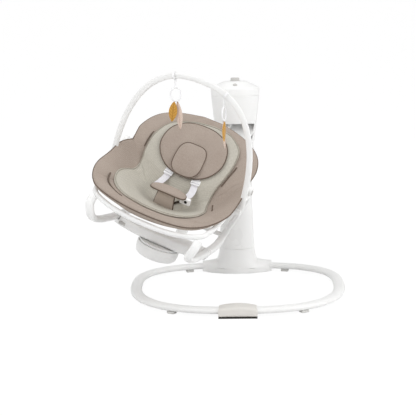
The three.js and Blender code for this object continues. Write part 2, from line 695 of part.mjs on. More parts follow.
const plateLow = HUB_HIGH + GAP;
const plateHigh = plateLow + TURNTABLE_THICKNESS;
add(seat, "turntable_plate", turned([
  [0, HUB_LOW + 12], [SPINDLE_RADIUS, HUB_LOW + 12], [SPINDLE_RADIUS, plateLow],
  [PLATE_RADIUS, plateLow], [PLATE_RADIUS, plateHigh], [0, plateHigh],
]), WARM_GREY);

// ---------------------------------------------------------------- cradle and its latches

const cradleLow = plateHigh + GAP;
function cradleRing(x, inset) {
  const s = Math.abs(x) / CRADLE_HALF;
  const low = cradleLow + 11 * s ** 3 + inset;
  const top = CRADLE_TOP - inset;
  const depth = CRADLE_DEPTH / 2 - 12 * s ** 4 - inset;
  return ovalRing(V(x, 0, (top + low) / 2), V(0, 1, 0), V(0, 0, 1), depth, (top - low) / 2, 4, 16);
}
function cradleLoft(half, inset) {
  const shares = [-1, -0.9, -0.7, -0.45, -0.2, 0.2, 0.45, 0.7, 0.9, 1];
  return loft(shares.map((s) => cradleRing(s * half, inset)));
}
const saddleInner = RAIL_X - RAIL_WIDTH / 2 - 2;
const saddles = SIDES.map(([, side]) => {
  const [a, b] = [side * saddleInner, side * (CRADLE_HALF + 20)].sort((p, q) => p - q);
  return block(a, b, -CRADLE_DEPTH, CRADLE_DEPTH, RAIL_SEAT - GAP, CRADLE_TOP + 10);
});
const latchX = saddleInner - 14;
const latchZ = 151;
const latchTools = SIDES.map(([, side]) =>
  softBlock(side * latchX - 12, side * latchX + 12, -CRADLE_DEPTH, -CRADLE_DEPTH / 2 + 20, latchZ - 5.5, latchZ + 5.5, 4));
add(seat, "seat_cradle", cut(
  cradleLoft(CRADLE_HALF, 0),
  cradleLoft(saddleInner - 5, CRADLE_WALL),
  block(-42, 42, -24, 24, cradleLow - 5, cradleLow + CRADLE_WALL + 4),
  ...saddles,
  ...latchTools,
), WHITE);
const latchFront = -CRADLE_DEPTH / 2 + 1;
for (const [name, side] of SIDES) {
  const middle = side * latchX;
  add(seat, `latch_${name}`, softBlock(
    middle - 11.6, middle + 11.6, latchFront, latchFront + 15, latchZ - 5.1, latchZ + 5.1, 3.5,
  ), GREY);
}

// ---------------------------------------------------------------- soft seat surfaces

// Top face of the lower pad: u runs across from -1 to 1, t from the front edge to the hinge line.
function seatSurface(u, t) {
  const w = PAD_HALF_WIDTH * mix(0.95, 1, Math.sin(Math.min(1, 2.2 * t) * Math.PI / 2)) - 10 * t ** 6;
  const edge = Math.abs(u) ** 2.2;
  const front = -PAD_FRONT + 16 * Math.abs(u) ** 6;
  const rear = mix(-22, -9, u * u);
  const middle = mix(PAD_FRONT_TOP, 250, Math.min(1, t / 0.8)) + 16 * Math.max(0, (t - 0.8) / 0.2) ** 2;
  return V(u * w, mix(front, rear, t), mix(middle, mix(PAD_FRONT_TOP + 30, 412, t), edge));
}

// Front face of the upper pad: t runs from the hinge line to the top edge.
function backSurface(u, t) {
  const w = Math.max(44, (PAD_HALF_WIDTH - 9) * (1 - t ** 3) ** 0.5);
  const edge = Math.abs(u) ** 2.2;
  const y = mix(mix(-10, 137, t ** 1.25), mix(12, 137, t), edge);
  return V(u * w, y, mix(mix(306, 561, t), mix(424, 563, t), edge));
}

const seatUp = V(0, 0.1, 0.995);
const backUp = V(0, -0.75, 0.661);
const even = (half) => () => [0, half];

const SEAT_GRID = { halfU: even(1), nu: 12, nt: 6 };
const BACK_GRID = { halfU: even(1), nu: 12, nt: 9 };
const seatPad = (low, high) => slab(seatSurface, seatUp, low, high, SEAT_GRID);
const backPad = (low, high) => slab(backSurface, backUp, low, high, BACK_GRID);
const seatLiner = (low, high) => slab(seatSurface, seatUp, low, high, {
  halfU: (t, s) => [0, 0.5 + 0.32 * Math.sin(Math.PI * Math.min(1, 0.35 + s)) ** 1.2 * (0.6 + 0.4 * s)],
  fromT: 0.16, toT: 0.97, nu: 8, nt: 6,
});
const backLiner = (low, high) => slab(backSurface, backUp, low, high, {
  halfU: () => [0, 0.7], toT: 0.9, nu: 8, nt: 6,
});
const linerTop = LINER_THICKNESS + SOFT_GAP;

// Centre of a tube that runs close under a pad.
function beneath(surface, up, u, t, radius) {
  const step = 0.02;
  const across = surface(u + step, t).sub(surface(u - step, t));
  const along = surface(u, t + step).sub(surface(u, t - step));
  const normal = across.cross(along).normalize();
  if (normal.dot(up) < 0) {
    normal.negate();
  }
  return surface(u, t).addScaledVector(up, -PAD_THICKNESS).addScaledVector(normal, -radius - 1);
}

// ---------------------------------------------------------------- rocker frame

const hingeMiddle = (HINGE_INNER + HINGE_OUTER) / 2;

// The lower frame runs from hinge to hinge, under the edge of the seat pad and across its front.
const frameHalf = (side) => [
  V(side * (hingeMiddle + 1.5), 0, HINGE_HEIGHT), V(side * hingeMiddle, -18, HINGE_HEIGHT - 19),
  ...[[0.9, 0.8], [0.9, 0.6], [0.9, 0.4], [0.9, 0.2], [0.86, 0.07], [0.6, 0.04], [0.25, 0.04]].map(
    ([u, t]) => beneath(seatSurface, seatUp, side * u, t, FRAME_TUBE)),
];
const framePath = throughPoints([...frameHalf(-1), ...frameHalf(1).reverse()]);
const frameTube = (grow) => sweep(framePath, 38, FRAME_TUBE, FRAME_TUBE, { side: V(0, 0.5, 0.87), power: 2, count: 8, grow });
const hingeRod = (side, radius, inner, outer, count = 24) =>
  rod(V(side * inner, 0, HINGE_HEIGHT), V(side * outer, 0, HINGE_HEIGHT), radius, count);
const hingeTools = SIDES.map(([, side]) =>
  hingeRod(side, Math.max(HINGE_RADIUS, FRAME_TUBE) + GAP, HINGE_INNER - 3, hingeMiddle + 1.5 + FRAME_TUBE + 3));
add(seat, "seat_frame", cut(frameTube(0), ...hingeTools, seatPad(-PAD_THICKNESS - GAP, 0)), WHITE);

// One side frame: front leg, gently curved rail and rear leg in a single bent profile.
const sidePoints = [
  [178, -262, 258], [177, -272, 236], [168, -266, 207], [164, -243, 190],
  [RAIL_X, -180, 176.5], [RAIL_X, -100, 170], [RAIL_X, -30, RAIL_SEAT + RAIL_HEIGHT / 2],
  [RAIL_X, 30, RAIL_SEAT + RAIL_HEIGHT / 2], [RAIL_X, 85, 170], [RAIL_X + 1, 118, 178], [RAIL_X + 5, 130, 205],
  [mix(RAIL_X, hingeMiddle, 0.39), 102, 268], [mix(RAIL_X, hingeMiddle, 0.75), 58, 332],
  [hingeMiddle - 1, 22, 382], [hingeMiddle, 2, HINGE_HEIGHT - 2],
];
const frameTool = frameTube(GAP);
const crossbarHalf = RAIL_X - 3;
const crossbar = (grow) =>
  rod(V(-crossbarHalf - grow, 129, 206), V(crossbarHalf + grow, 129, 206), FRAME_TUBE + grow, 16);
const railTaper = (t) => mix(1, 0.52, Math.min(1, Math.max(0, (t - 0.65) / 0.25)));
for (const [index, [name, side]] of SIDES.entries()) {
  const path = throughPoints(sidePoints.map(([x, y, z]) => V(side * x, y, z)));
  const profile = sweep(path, 34, RAIL_WIDTH / 2, RAIL_HEIGHT / 2, {
    power: 3, count: 10, taper: railTaper,
  });
  add(seat, `rocker_side_${name}`, cut(profile, frameTool, hingeTools[index], crossbar(GAP)), WHITE);
  const housing = cut(
    hingeRod(side, HINGE_RADIUS, HINGE_INNER, HINGE_OUTER),
    hingeRod(side, RECLINE_BUTTON_RADIUS + GAP, HINGE_INNER + 5, HINGE_OUTER + 3, 24),
  );
  add(seat, `recline_hinge_${name}`, housing, WHITE);
  add(seat, `recline_button_${name}`, hingeRod(side, RECLINE_BUTTON_RADIUS, HINGE_INNER + 9, HINGE_OUTER + 3, 24), GREY);
  const socket = rod(
    V(side * SOCKET_INNER, BAR_FOOT_Y, BAR_FOOT_Z), V(side * SOCKET_OUTER, BAR_FOOT_Y, BAR_FOOT_Z), 14, 24);
  add(seat, `bar_socket_${name}`, cut(socket, frameTool), WHITE);
}
add(seat, "rear_crossbar", crossbar(0), WHITE);

// ---------------------------------------------------------------- pads, liner and head support

add(seat, "seat_pad_lower", seatPad(-PAD_THICKNESS, 0), TAUPE);
add(seat, "seat_liner_lower", cut(seatLiner(-SOFT_GAP, linerTop), seatPad(-PAD_THICKNESS, GAP)), STONE);

const reclining = new THREE.Group();
seat.add(reclining);
add(reclining, "seat_pad_upper", backPad(-PAD_THICKNESS, 0), TAUPE);
add(reclining, "seat_liner_upper", cut(backLiner(-SOFT_GAP, linerTop), backPad(-PAD_THICKNESS, GAP)), STONE);
const onBackLiner = backLiner(0, linerTop + GAP);
add(reclining, "head_support", cut(slab(backSurface, backUp, LINER_THICKNESS, linerTop + 26, {
  halfU: (t, s) => [0, 0.44 + 0.15 * Math.sin(Math.PI * s)], fromT: 0.3, toT: 0.84, nu: 8, nt: 5,
}), onBackLiner), TAUPE);

// Back frame: a bent tube behind the upper pad, with a flat paddle on each hinge.
const backHalf = (side) => [
  V(side * (PADDLE_INNER + 1.5), 0, HINGE_HEIGHT), V(side * (PADDLE_INNER + 1.5), 24, HINGE_HEIGHT + 12),
  ...[[0.97, 0.32], [0.95, 0.5], [0.93, 0.68], [0.9, 0.82], [0.7, 0.915]].map(
    ([u, t]) => beneath(backSurface, backUp, side * u, t, BACK_TUBE)),
];
const backPath = throughPoints([...backHalf(-1), beneath(backSurface, backUp, 0, 0.94, BACK_TUBE), ...backHalf(1).reverse()]);
add(reclining, "back_frame", cut(join(
  sweep(backPath, 38, BACK_TUBE, BACK_TUBE / 1.6, { side: backUp, power: 2.2, count: 8 }),
  ...SIDES.map(([, side]) => hingeRod(side, HINGE_RADIUS - 2, PADDLE_INNER, HINGE_INNER - GAP, 20)),
), backPad(-PAD_THICKNESS - GAP, 0)), WHITE);

// ---------------------------------------------------------------- harness

for (const [name, side] of SIDES) {
  add(reclining, `harness_strap_${name}`, cut(slab(backSurface, backUp, LINER_THICKNESS, linerTop + 2.4, {
    halfU: () => [side * 0.235, 0.055], fromT: 0.035, toT: 0.285, nu: 2, nt: 4,
  }), onBackLiner), WEBBING);
}

const bellyY = -113;
const bellyZ = 333;
const crotchRing = (share) => {
  const centre = V(0, mix(-50, bellyY, share), mix(262, bellyZ - 4, share));
  return ovalRing(centre, V(1, 0, 0), V(0, 0.76, 0.65), mix(38, 28, share), 6, 4, 12);
};
const bellyTilt = rad(24);
const bellyPad = (grow) =>
  new THREE.SphereGeometry(1, 16, 8).scale(64 + grow, 19 + grow, 9 + grow).rotateX(bellyTilt)
    .translate(0, bellyY, bellyZ);
add(seat, "crotch_pad", cut(
  join(loft([0, 0.25, 0.5, 0.75, 1].map(crotchRing)), bellyPad(0)),
  seatLiner(-SOFT_GAP, linerTop + GAP),
), TAUPE);

const inBuckle = (geometry) => geometry.rotateX(bellyTilt).translate(60, -104, 319);
const buckleFace = -6;
add(seat, "buckle", cut(
  inBuckle(softBlock(-18, 18, buckleFace, 6, -12, 12, 4)),
  inBuckle(rod(V(3, -20, 0), V(3, 3, 0), 5 + GAP, 20)),
  bellyPad(0.6),
), WEBBING);
add(seat, "buckle_button", inBuckle(rod(V(3, buckleFace - 0.8, 0), V(3, 1, 0), 5, 20)), DARK);

// ---------------------------------------------------------------- toy bar and hanging toys

const barUp = V(0, -Math.sin(rad(BAR_LEAN)), Math.cos(rad(BAR_LEAN)));
const barPoint = (angle) => {
  const [x, h] = ovalPoint(BAR_HALF_WIDTH, BAR_RISE, BAR_ROUNDNESS, angle);
  return V(x, BAR_FOOT_Y, BAR_FOOT_Z).addScaledVector(barUp, h);
};
const barCurve = new THREE.Curve();
barCurve.getPoint = (t) => barPoint(mix(0.001, Math.PI - 0.001, t));
const barNormal = V(1, 0, 0).cross(barUp).normalize();
const footInner = SOCKET_OUTER + GAP;
add(seat, "toy_bar", join(
  sweep(barCurve, 36, BAR_DEPTH, BAR_SECTION, { side: barNormal, power: 2.6, count: 8 }),
  ...SIDES.map(([, side]) =>
    rod(V(side * footInner, BAR_FOOT_Y, BAR_FOOT_Z), V(side * (BAR_HALF_WIDTH + 4), BAR_FOOT_Y, BAR_FOOT_Z), 13, 20)),
), WHITE);

// Each toy hangs plumb from a strap round the bar: an oval ring with two cloth leaves.
function leafSolid(length, width, thickness) {
  const stations = [0, 0.08, 0.25, 0.5, 0.75, 0.92, 1];
  return loft(stations.map((s) => {
    const half = Math.max(0.8, (width / 2) * Math.sin(Math.PI * Math.min(0.98, 0.03 + s * 0.95)) ** 0.8);
    return ovalRing(V(0, 0, -s * length), V(1, 0, 0), V(0, 1, 0), half, thickness / 2, 2.4, 8);
  }));
}

function ovalLoop(halfWidth, halfHeight, tube, depth) {
  const count = 18;
  const points = [];
  const triangles = [];
  const ring = 6;
  for (let i = 0; i < count; i += 1) {
    const angle = (2 * Math.PI * i) / count;
    const centre = V(halfWidth * Math.cos(angle), 0, halfHeight * Math.sin(angle));
    const outward = V(Math.cos(angle), 0, Math.sin(angle));
    points.push(...ovalRing(centre, outward, V(0, 1, 0), tube, depth, 2.2, ring));
  }
  for (let i = 0; i < count; i += 1) {
    for (let j = 0; j < ring; j += 1) {
      const a = i * ring + j;
      const b = i * ring + ((j + 1) % ring);
      const c = ((i + 1) % count) * ring + ((j + 1) % ring);
      const d = ((i + 1) % count) * ring + j;
      triangles.push([a, b, c], [a, c, d]);
    }
  }
  return meshFrom(points, triangles);
}

const ringHalfWidth = 15.5;
const ringHalfHeight = 20.5;
const strapDrop = 36;
const toWorld = (point) =>
  point.clone().add(seat.position).applyQuaternion(swing.quaternion).add(swing.position);
for (const [name, angle, turn] of [["left", 108, 0], ["right", 73, 68]]) {
  const toy = new THREE.Group();
  toy.position.copy(toWorld(barPoint(rad(angle))));
  root.add(toy);
  const along = toWorld(barPoint(rad(angle - 1))).sub(toWorld(barPoint(rad(angle + 1)))).normalize();
  const outward = barNormal.clone().applyQuaternion(swing.quaternion);
  const radial = outward.clone().cross(along);
  const loopHalf = BAR_SECTION + 1.6;
  const strap = ovalLoop(loopHalf, loopHalf, 0.9, 3);
  strap.applyMatrix4(new THREE.Matrix4().makeBasis(outward, along, radial));
  const foot = radial.clone().multiplyScalar(-Math.sign(radial.z) * loopHalf);
  const plain = rod(foot, foot.clone().setZ(-strapDrop + 1), 1.6, 8);
  const ring = ovalLoop(ringHalfWidth, ringHalfHeight, 2.6, 2.6).rotateZ(rad(turn));
  ring.translate(foot.x, foot.y, -strapDrop - ringHalfHeight);
  add(toy, `toy_ring_${name}`, join(strap, plain, ring), WHITE);
  const leafTop = -strapDrop - 2 * ringHalfHeight - 2.6 + 0.6;
  const amber = leafSolid(60, 26, 6).rotateY(rad(8)).translate(-5, -4, 0).rotateZ(rad(turn));
  add(toy, `leaf_amber_${name}`, amber.translate(foot.x, foot.y, leafTop), AMBER);
  const pale = leafSolid(84, 21, 6).rotateY(rad(-5)).translate(5, 4, 0).rotateZ(rad(turn));
  add(toy, `leaf_pale_${name}`, pale.translate(foot.x, foot.y, leafTop), PALE);
}

export default root;
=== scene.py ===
import math

import bpy
import numpy as np
from mathutils import Matrix, Vector


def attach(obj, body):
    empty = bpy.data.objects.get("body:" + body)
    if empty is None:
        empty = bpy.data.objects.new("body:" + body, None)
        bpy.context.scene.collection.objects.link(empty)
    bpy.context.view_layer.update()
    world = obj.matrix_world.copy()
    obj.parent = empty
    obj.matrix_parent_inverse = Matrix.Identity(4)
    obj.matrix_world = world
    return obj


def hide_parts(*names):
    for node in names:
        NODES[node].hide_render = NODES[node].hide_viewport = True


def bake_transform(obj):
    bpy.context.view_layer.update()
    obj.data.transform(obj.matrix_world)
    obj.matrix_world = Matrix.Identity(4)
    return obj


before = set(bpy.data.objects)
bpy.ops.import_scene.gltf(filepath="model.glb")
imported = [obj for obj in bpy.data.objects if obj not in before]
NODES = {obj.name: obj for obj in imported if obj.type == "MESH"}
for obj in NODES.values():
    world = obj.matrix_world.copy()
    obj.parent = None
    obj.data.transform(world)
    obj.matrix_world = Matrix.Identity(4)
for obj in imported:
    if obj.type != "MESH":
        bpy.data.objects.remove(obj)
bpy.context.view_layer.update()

# ================================================================ camera
# A long lens a little above the seat, looking slightly down at the front of the swing.
camera_data = bpy.data.cameras.new("camera")
camera_data.lens = 81.5
camera_data.sensor_width = 36
camera = bpy.data.objects.new("camera", camera_data)
bpy.context.scene.collection.objects.link(camera)
bpy.context.scene.camera = camera
CAMERA_ROLL = math.radians(-1.01)
camera.location = (-0.001, -3.367, 0.833)
aim = Vector((-0.096, -0.25, 0.278)) - camera.location
camera.rotation_mode = "QUATERNION"
roll = Matrix.Rotation(CAMERA_ROLL, 4, "Z").to_quaternion()
camera.rotation_quaternion = aim.to_track_quat("-Z", "Y") @ roll

# ================================================================ stage and light
# A white sweep behind and under the swing, a large soft key from the upper left and a wide fill.
# The helpers for meshes and shader nodes that every later section uses start here.


def linear(colour):
    """Turns an sRGB colour written as "rrggbb" into the linear values that a shader takes."""
    shares = [int(colour[i:i + 2], 16) / 255 for i in (0, 2, 4)]
    return tuple(c / 12.92 if c <= 0.04045 else ((c + 0.055) / 1.055) ** 2.4 for c in shares) + (1.0,)


def add_node(tree, kind, inputs=None, **settings):
    """Adds a shader node, sets its properties, and gives each named socket a constant or a link."""
    made = tree.nodes.new(kind)
    for key, value in settings.items():
        setattr(made, key, value)
    for key, value in (inputs or {}).items():
        if isinstance(value, bpy.types.NodeSocket):
            tree.links.new(value, made.inputs[key])
        else:
            made.inputs[key].default_value = value
    return made


def new_material(name):
    """An empty material and its node tree."""
    material = bpy.data.materials.new(name)
    material.use_nodes = True
    material.node_tree.nodes.clear()
    return material, material.node_tree


def grid_quads(rows, columns, wrap=True):
    """Quads of a grid of points stored row by row; with wrap the last column joins the first."""
    j, i = np.meshgrid(np.arange(rows - 1), np.arange(columns if wrap else columns - 1), indexing="ij")
    a = j * columns + i
    b = j * columns + (i + 1) % columns
    return np.stack([a, b, b + columns, a + columns], -1).reshape(-1, 4)


def solid(name, points, polygons, sharp=40, weave=None):
    """One mesh object from points in metres. Its faces are turned outward, which is where the sum of the
    signed tetrahedra under the faces is positive. Edges over the sharp angle stay hard."""
    quads = np.array([p for p in polygons if len(p) == 4])
    corners = points[quads]
    crosses = np.cross(corners[:, 1], corners[:, 2]) + np.cross(corners[:, 2], corners[:, 3])
    volume = float((corners[:, 0] * crosses).sum())
    polygons = [list(map(int, p)) for p in polygons]
    if volume < 0:
        polygons = [p[::-1] for p in polygons]
    mesh = bpy.data.meshes.new(name)
    mesh.from_pydata(points.tolist(), [], polygons)
    mesh.polygons.foreach_set("use_smooth", np.ones(len(mesh.polygons), bool))
    mesh.set_sharp_from_angle(angle=math.radians(sharp))
    if weave is not None:
        held = mesh.attributes.new("weave", "FLOAT_VECTOR", "POINT")
        held.data.foreach_set("vector", np.ascontiguousarray(weave, np.float32).ravel())
    mesh.update()
    made = bpy.data.objects.new(name, mesh)
    bpy.context.scene.collection.objects.link(made)
    return made


def make_backdrop():
    """A floor that bends up into a wall: straight, a quarter circle, straight, swept across X."""
    turn = np.linspace(0, math.pi / 2, 24)
    bend = 2.0
    profile = [(-14.0, 0.0)] + list(zip(6 + bend * np.sin(turn), bend - bend * np.cos(turn))) + [(8.0, 14.0)]
    profile = np.array(profile)
    points = np.array([(x, y, z - 0.0004) for y, z in profile for x in (-14.0, 14.0)])
    mesh = bpy.data.meshes.new("backdrop")
    mesh.from_pydata(points.tolist(), [], grid_quads(len(profile), 2, wrap=False).tolist())
    mesh.polygons.foreach_set("use_smooth", np.ones(len(mesh.polygons), bool))
    made = bpy.data.objects.new("backdrop", mesh)
    bpy.context.scene.collection.objects.link(made)
    return made


# Paper sweep: lit like paper, and lifted towards white where the camera sees it directly.
backdrop_paper, tree = new_material("white_paper_sweep")
paper = add_node(tree, "ShaderNodeBsdfDiffuse", {"Color": linear("f6f6f6"), "Roughness": 1.0})
lift = add_node(tree, "ShaderNodeEmission", {"Color": (1, 1, 1, 1), "Strength": 1.04})
rays = add_node(tree, "ShaderNodeLightPath")
share = add_node(tree, "ShaderNodeMath", {0: rays.outputs["Is Camera Ray"], 1: 0.9}, operation="MULTIPLY")
seen = add_node(tree, "ShaderNodeMixShader", {0: share.outputs[0], 1: paper.outputs[0], 2: lift.outputs[0]})
add_node(tree, "ShaderNodeOutputMaterial", {"Surface": seen.outputs[0]})
backdrop = make_backdrop()
backdrop.data.materials.append(backdrop_paper)


def area_light(name, place, target, size, power):
    """A square soft box of that size in metres, turned to its target."""
    data = bpy.data.lights.new(name, "AREA")
    data.shape = "SQUARE"
    data.size = size
    data.energy = power
    made = bpy.data.objects.new(name, data)
    bpy.context.scene.collection.objects.link(made)
    made.location = place
    made.rotation_mode = "QUATERNION"
    made.rotation_quaternion = (Vector(target) - Vector(place)).to_track_quat("-Z", "Y")
    return made


area_light("key", (-1.9, -2.3, 2.7), (-0.1, -0.25, 0.35), 2.4, 38)
area_light("fill", (2.6, -1.6, 1.5), (0.0, -0.2, 0.35), 2.4, 36)
area_light("top", (0.1, 0.2, 2.9), (-0.05, -0.25, 0.2), 2.4, 9)

world = bpy.data.worlds.new("studio")
bpy.context.scene.world = world
world.use_nodes = True
world.node_tree.nodes.clear()
# The sky lights at 0.69 and shows as plain white where the camera sees it.
rays = add_node(world.node_tree, "ShaderNodeLightPath")
level = add_node(world.node_tree, "ShaderNodeMath", {0: rays.outputs["Is Camera Ray"], 1: 0.69},
                 operation="MAXIMUM")
sky = add_node(world.node_tree, "ShaderNodeBackground", {"Color": (1, 1, 1, 1), "Strength": level.outputs[0]})
add_node(world.node_tree, "ShaderNodeOutputWorld", {"Surface": sky.outputs[0]})
bpy.context.scene.view_settings.view_transform = "Standard"

# ================================================================ places and shared shapes
# Sizes are in millimetres, written as on the drawing, and MM takes them to metres.
# SEAT carries a point measured from the turntable's axis, with the arm hanging straight, to its place on the
# arm held at the left end of the swing.
MM = 0.001
SHAFT_TILT = math.radians(35)
SWING_REST = math.radians(25.5)
PIVOT = Vector((0, 0, 0.600))
SHAFT_AXIS = Vector((0, math.cos(SHAFT_TILT), -math.sin(SHAFT_TILT)))
HUB_FORWARD = 365
SWUNG = Matrix.Translation(PIVOT) @ Matrix.Rotation(SWING_REST, 4, SHAFT_AXIS) @ Matrix.Translation(-PIVOT)
SEAT = SWUNG @ Matrix.Translation((0, -HUB_FORWARD * MM, 0))
DRIVE = Matrix.Translation(PIVOT) @ Matrix.Rotation(-SHAFT_TILT, 4, "X")
WORLD = Matrix.Identity(4)
SIDES = (("left", -1), ("right", 1))
# Number of points on a fine outline, before it is spaced evenly.
OVAL_STEPS = 1441


def placed(points, frame_matrix):
    """Millimetre points of shape (..., 3), taken to metres and moved by a frame."""
    m = np.array(frame_matrix)
    return (np.asarray(points, float) * MM) @ m[:3, :3].T + m[:3, 3]


def mix(a, b, t):
    """The value a share t of the way from a to b."""
    return a + (b - a) * t


def flat_run(x, y):
    """Length along a flat curve up to each of its points."""
    return np.concatenate([[0], np.cumsum(np.hypot(np.diff(x), np.diff(y)))])


def path_run(path):
    """Length along a path up to each of its points."""
    return np.concatenate([[0], np.cumsum(np.linalg.norm(np.diff(path, axis=0), axis=1))])


def oval(a, b, power, angle):
    """Points of the curve where (x/a)^power + (y/b)^power is 1; power 2 is an ellipse and more is squarer."""
    c, s = np.cos(angle), np.sin(angle)
    bend = 2 / power
    return a * np.sign(c) * np.abs(c) ** bend, b * np.sign(s) * np.abs(s) ** bend


def even_oval(a, b, power, count):
    """Points on the same curve as oval, spaced evenly along its length."""
    fine = np.linspace(0, 2 * math.pi, OVAL_STEPS)
    run = flat_run(*oval(a, b, power, fine))
    return oval(a, b, power, np.interp(np.arange(count) * run[-1] / count, run, fine))


def through(points, count):
    """Centripetal Catmull-Rom curve through the points: each span is a cubic whose knots lie the square root
    of the chord apart. Gives count points spaced evenly in the spans."""
    p = np.asarray(points, float)
    p = np.vstack([2 * p[0] - p[1], p, 2 * p[-1] - p[-2]])
    s = np.linspace(0, len(p) - 3, count)
    k = np.minimum(s.astype(int), len(p) - 4)
    f = (s - k)[:, None]
    p0, p1, p2, p3 = p[k], p[k + 1], p[k + 2], p[k + 3]
    d = [np.maximum(1e-4, np.linalg.norm(q - r, axis=1)) ** 0.5 for q, r in ((p1, p0), (p2, p1), (p3, p2))]
    d0, d1, d2 = (x[:, None] for x in d)
    m1 = (p1 - p0) / d0 - (p2 - p0) / (d0 + d1) + (p2 - p1) / d1
    m2 = (p2 - p1) / d1 - (p3 - p1) / (d1 + d2) + (p3 - p2) / d2
    m1, m2 = m1 * d1, m2 * d1
    return ((2 * f ** 3 - 3 * f ** 2 + 1) * p1 + (f ** 3 - 2 * f ** 2 + f) * m1
            + (3 * f ** 2 - 2 * f ** 3) * p2 + (f ** 3 - f ** 2) * m2)


def evenly(path, count):
    """The same path with count points at even distances along it."""
    run = path_run(path)
    at = np.linspace(0, run[-1], count)
    return np.stack([np.interp(at, run, path[:, k]) for k in range(path.shape[1])], 1)


def loft(name, rings, frame_matrix, sharp=40, closed=False, weave=None):
    """A solid through rings of points in millimetres, shape (rings, points, 3), with flat ends unless it is
    closed, when the last ring joins the first."""
    rows, columns = rings.shape[:2]
    if closed:
        polygons = (grid_quads(rows + 1, columns) % (rows * columns)).tolist()
    else:
        last = (rows - 1) * columns
        polygons = grid_quads(rows, columns).tolist()
        polygons += [list(range(columns))[::-1], list(range(last, last + columns))]
    return solid(name, placed(rings.reshape(-1, 3), frame_matrix), polygons, sharp, weave)


def section_rings(path, side, a, b, power=2, count=32, closed=False, ends=0):
    """Oval sections along a path. The first section axis is side, squared up to the path; a and b may vary
    along it. With ends, the last millimetres shrink in a quarter round of that radius."""
    if closed:
        tangent = np.roll(path, -1, 0) - np.roll(path, 1, 0)
    else:
        tangent = np.gradient(path, axis=0)
    tangent /= np.linalg.norm(tangent, axis=1, keepdims=True)
    side = np.broadcast_to(np.asarray(side, float), path.shape)
    second = np.cross(tangent, side)
    second /= np.linalg.norm(second, axis=1, keepdims=True)
    first = np.cross(second, tangent)
    a = np.broadcast_to(np.asarray(a, float), len(path)).copy()
    b = np.broadcast_to(np.asarray(b, float), len(path)).copy()
    if ends:
        run = path_run(path)
        near = np.minimum(run, run[-1] - run)
        inset = ends - np.sqrt(np.maximum(0, ends ** 2 - np.maximum(0, ends - near) ** 2))
        a, b = a - inset, b - inset
    x, y = even_oval(1, 1, power, count)
    return (path[:, None] + first[:, None] * (a[:, None] * x)[..., None]
            + second[:, None] * (b[:, None] * y)[..., None])


def turned(name, profile, frame_matrix, count=96):
    """A solid of revolution about Z through [radius, height] corners in millimetres."""
    profile = np.asarray(profile, float)
    angle = np.linspace(0, 2 * math.pi, count, endpoint=False)
    r, z = profile[:, :1], profile[:, 1:]
    rings = np.stack([r * np.cos(angle), r * np.sin(angle), np.broadcast_to(z, (len(profile), count))], -1)
    return loft(name, rings, frame_matrix)


def soft_corners(profile, radius, steps=4):
    """Rounds the inner corners of a [radius, height] profile with a quadratic curve across each corner."""
    p = np.asarray(profile, float)
    made = [p[0]]
    for before, corner, after in zip(p[:-2], p[1:-1], p[2:]):
        reach = min(radius, 0.45 * np.linalg.norm(before - corner), 0.45 * np.linalg.norm(after - corner))
        start = corner + (before - corner) / max(1e-9, np.linalg.norm(before - corner)) * reach
        end = corner + (after - corner) / max(1e-9, np.linalg.norm(after - corner)) * reach
        for t in np.linspace(0, 1, steps):
            made.append((1 - t) ** 2 * start + 2 * t * (1 - t) * corner + t ** 2 * end)
    return np.array(made + [p[-1]])


def along_axis(start, end, frame_matrix=WORLD):
    """The frame whose Z axis runs from start to end, both in millimetres in another frame."""
    start, end = Vector(start), Vector(end)
    turn = (end - start).to_track_quat("Z", "Y").to_matrix().to_4x4()
    return frame_matrix @ Matrix.Translation(start * MM) @ turn


def rounded_box(name, size, radius, frame_matrix, steps=5):
    """A box with rounded edges: six even grids pushed to the surface at distance radius from an inner box."""
    half = np.array(size, float) / 2
    inner = half - radius
    bend = radius * np.tan(np.linspace(-math.pi / 4, math.pi / 4, 2 * steps + 1))
    lines = [np.concatenate([bend[:steps] - core, [-core, core], bend[steps + 1:] + core]) for core in inner]
    faces, points = [], []
    for axis in range(3):
        b, c = (axis + 1) % 3, (axis + 2) % 3
        grid_b, grid_c = np.meshgrid(lines[b], lines[c], indexing="ij")
        for sign in (-1, 1):
            flat = np.zeros(grid_b.shape + (3,))
            flat[..., axis] = sign * half[axis]
            flat[..., b] = grid_b
            flat[..., c] = grid_c
            core = np.clip(flat, -inner, inner)
            away = flat - core
            away /= np.maximum(1e-9, np.linalg.norm(away, axis=-1, keepdims=True))
            quads = grid_quads(*grid_b.shape, wrap=False) + sum(len(p) for p in points)
            faces.append(quads if sign > 0 else quads[:, ::-1])
            points.append((core + away * radius).reshape(-1, 3))
    return welded(name, np.concatenate(points), np.concatenate(faces), frame_matrix)


def welded(name, points, quads, frame_matrix):
    """Joins points that lie at the same place, to a hundredth of a millimetre, then makes the solid."""
    keys = np.round(points * 100).astype(np.int64)
    _, first, back = np.unique(keys, axis=0, return_index=True, return_inverse=True)
    back = back.reshape(-1)
    quads = back[quads]
    polygons = []
    for q in quads.tolist():
        kept = [q[i] for i in range(4) if q[i] != q[i - 1]]
        if len(kept) > 2:
            polygons.append(kept)
    return solid(name, placed(points[first], frame_matrix), polygons)


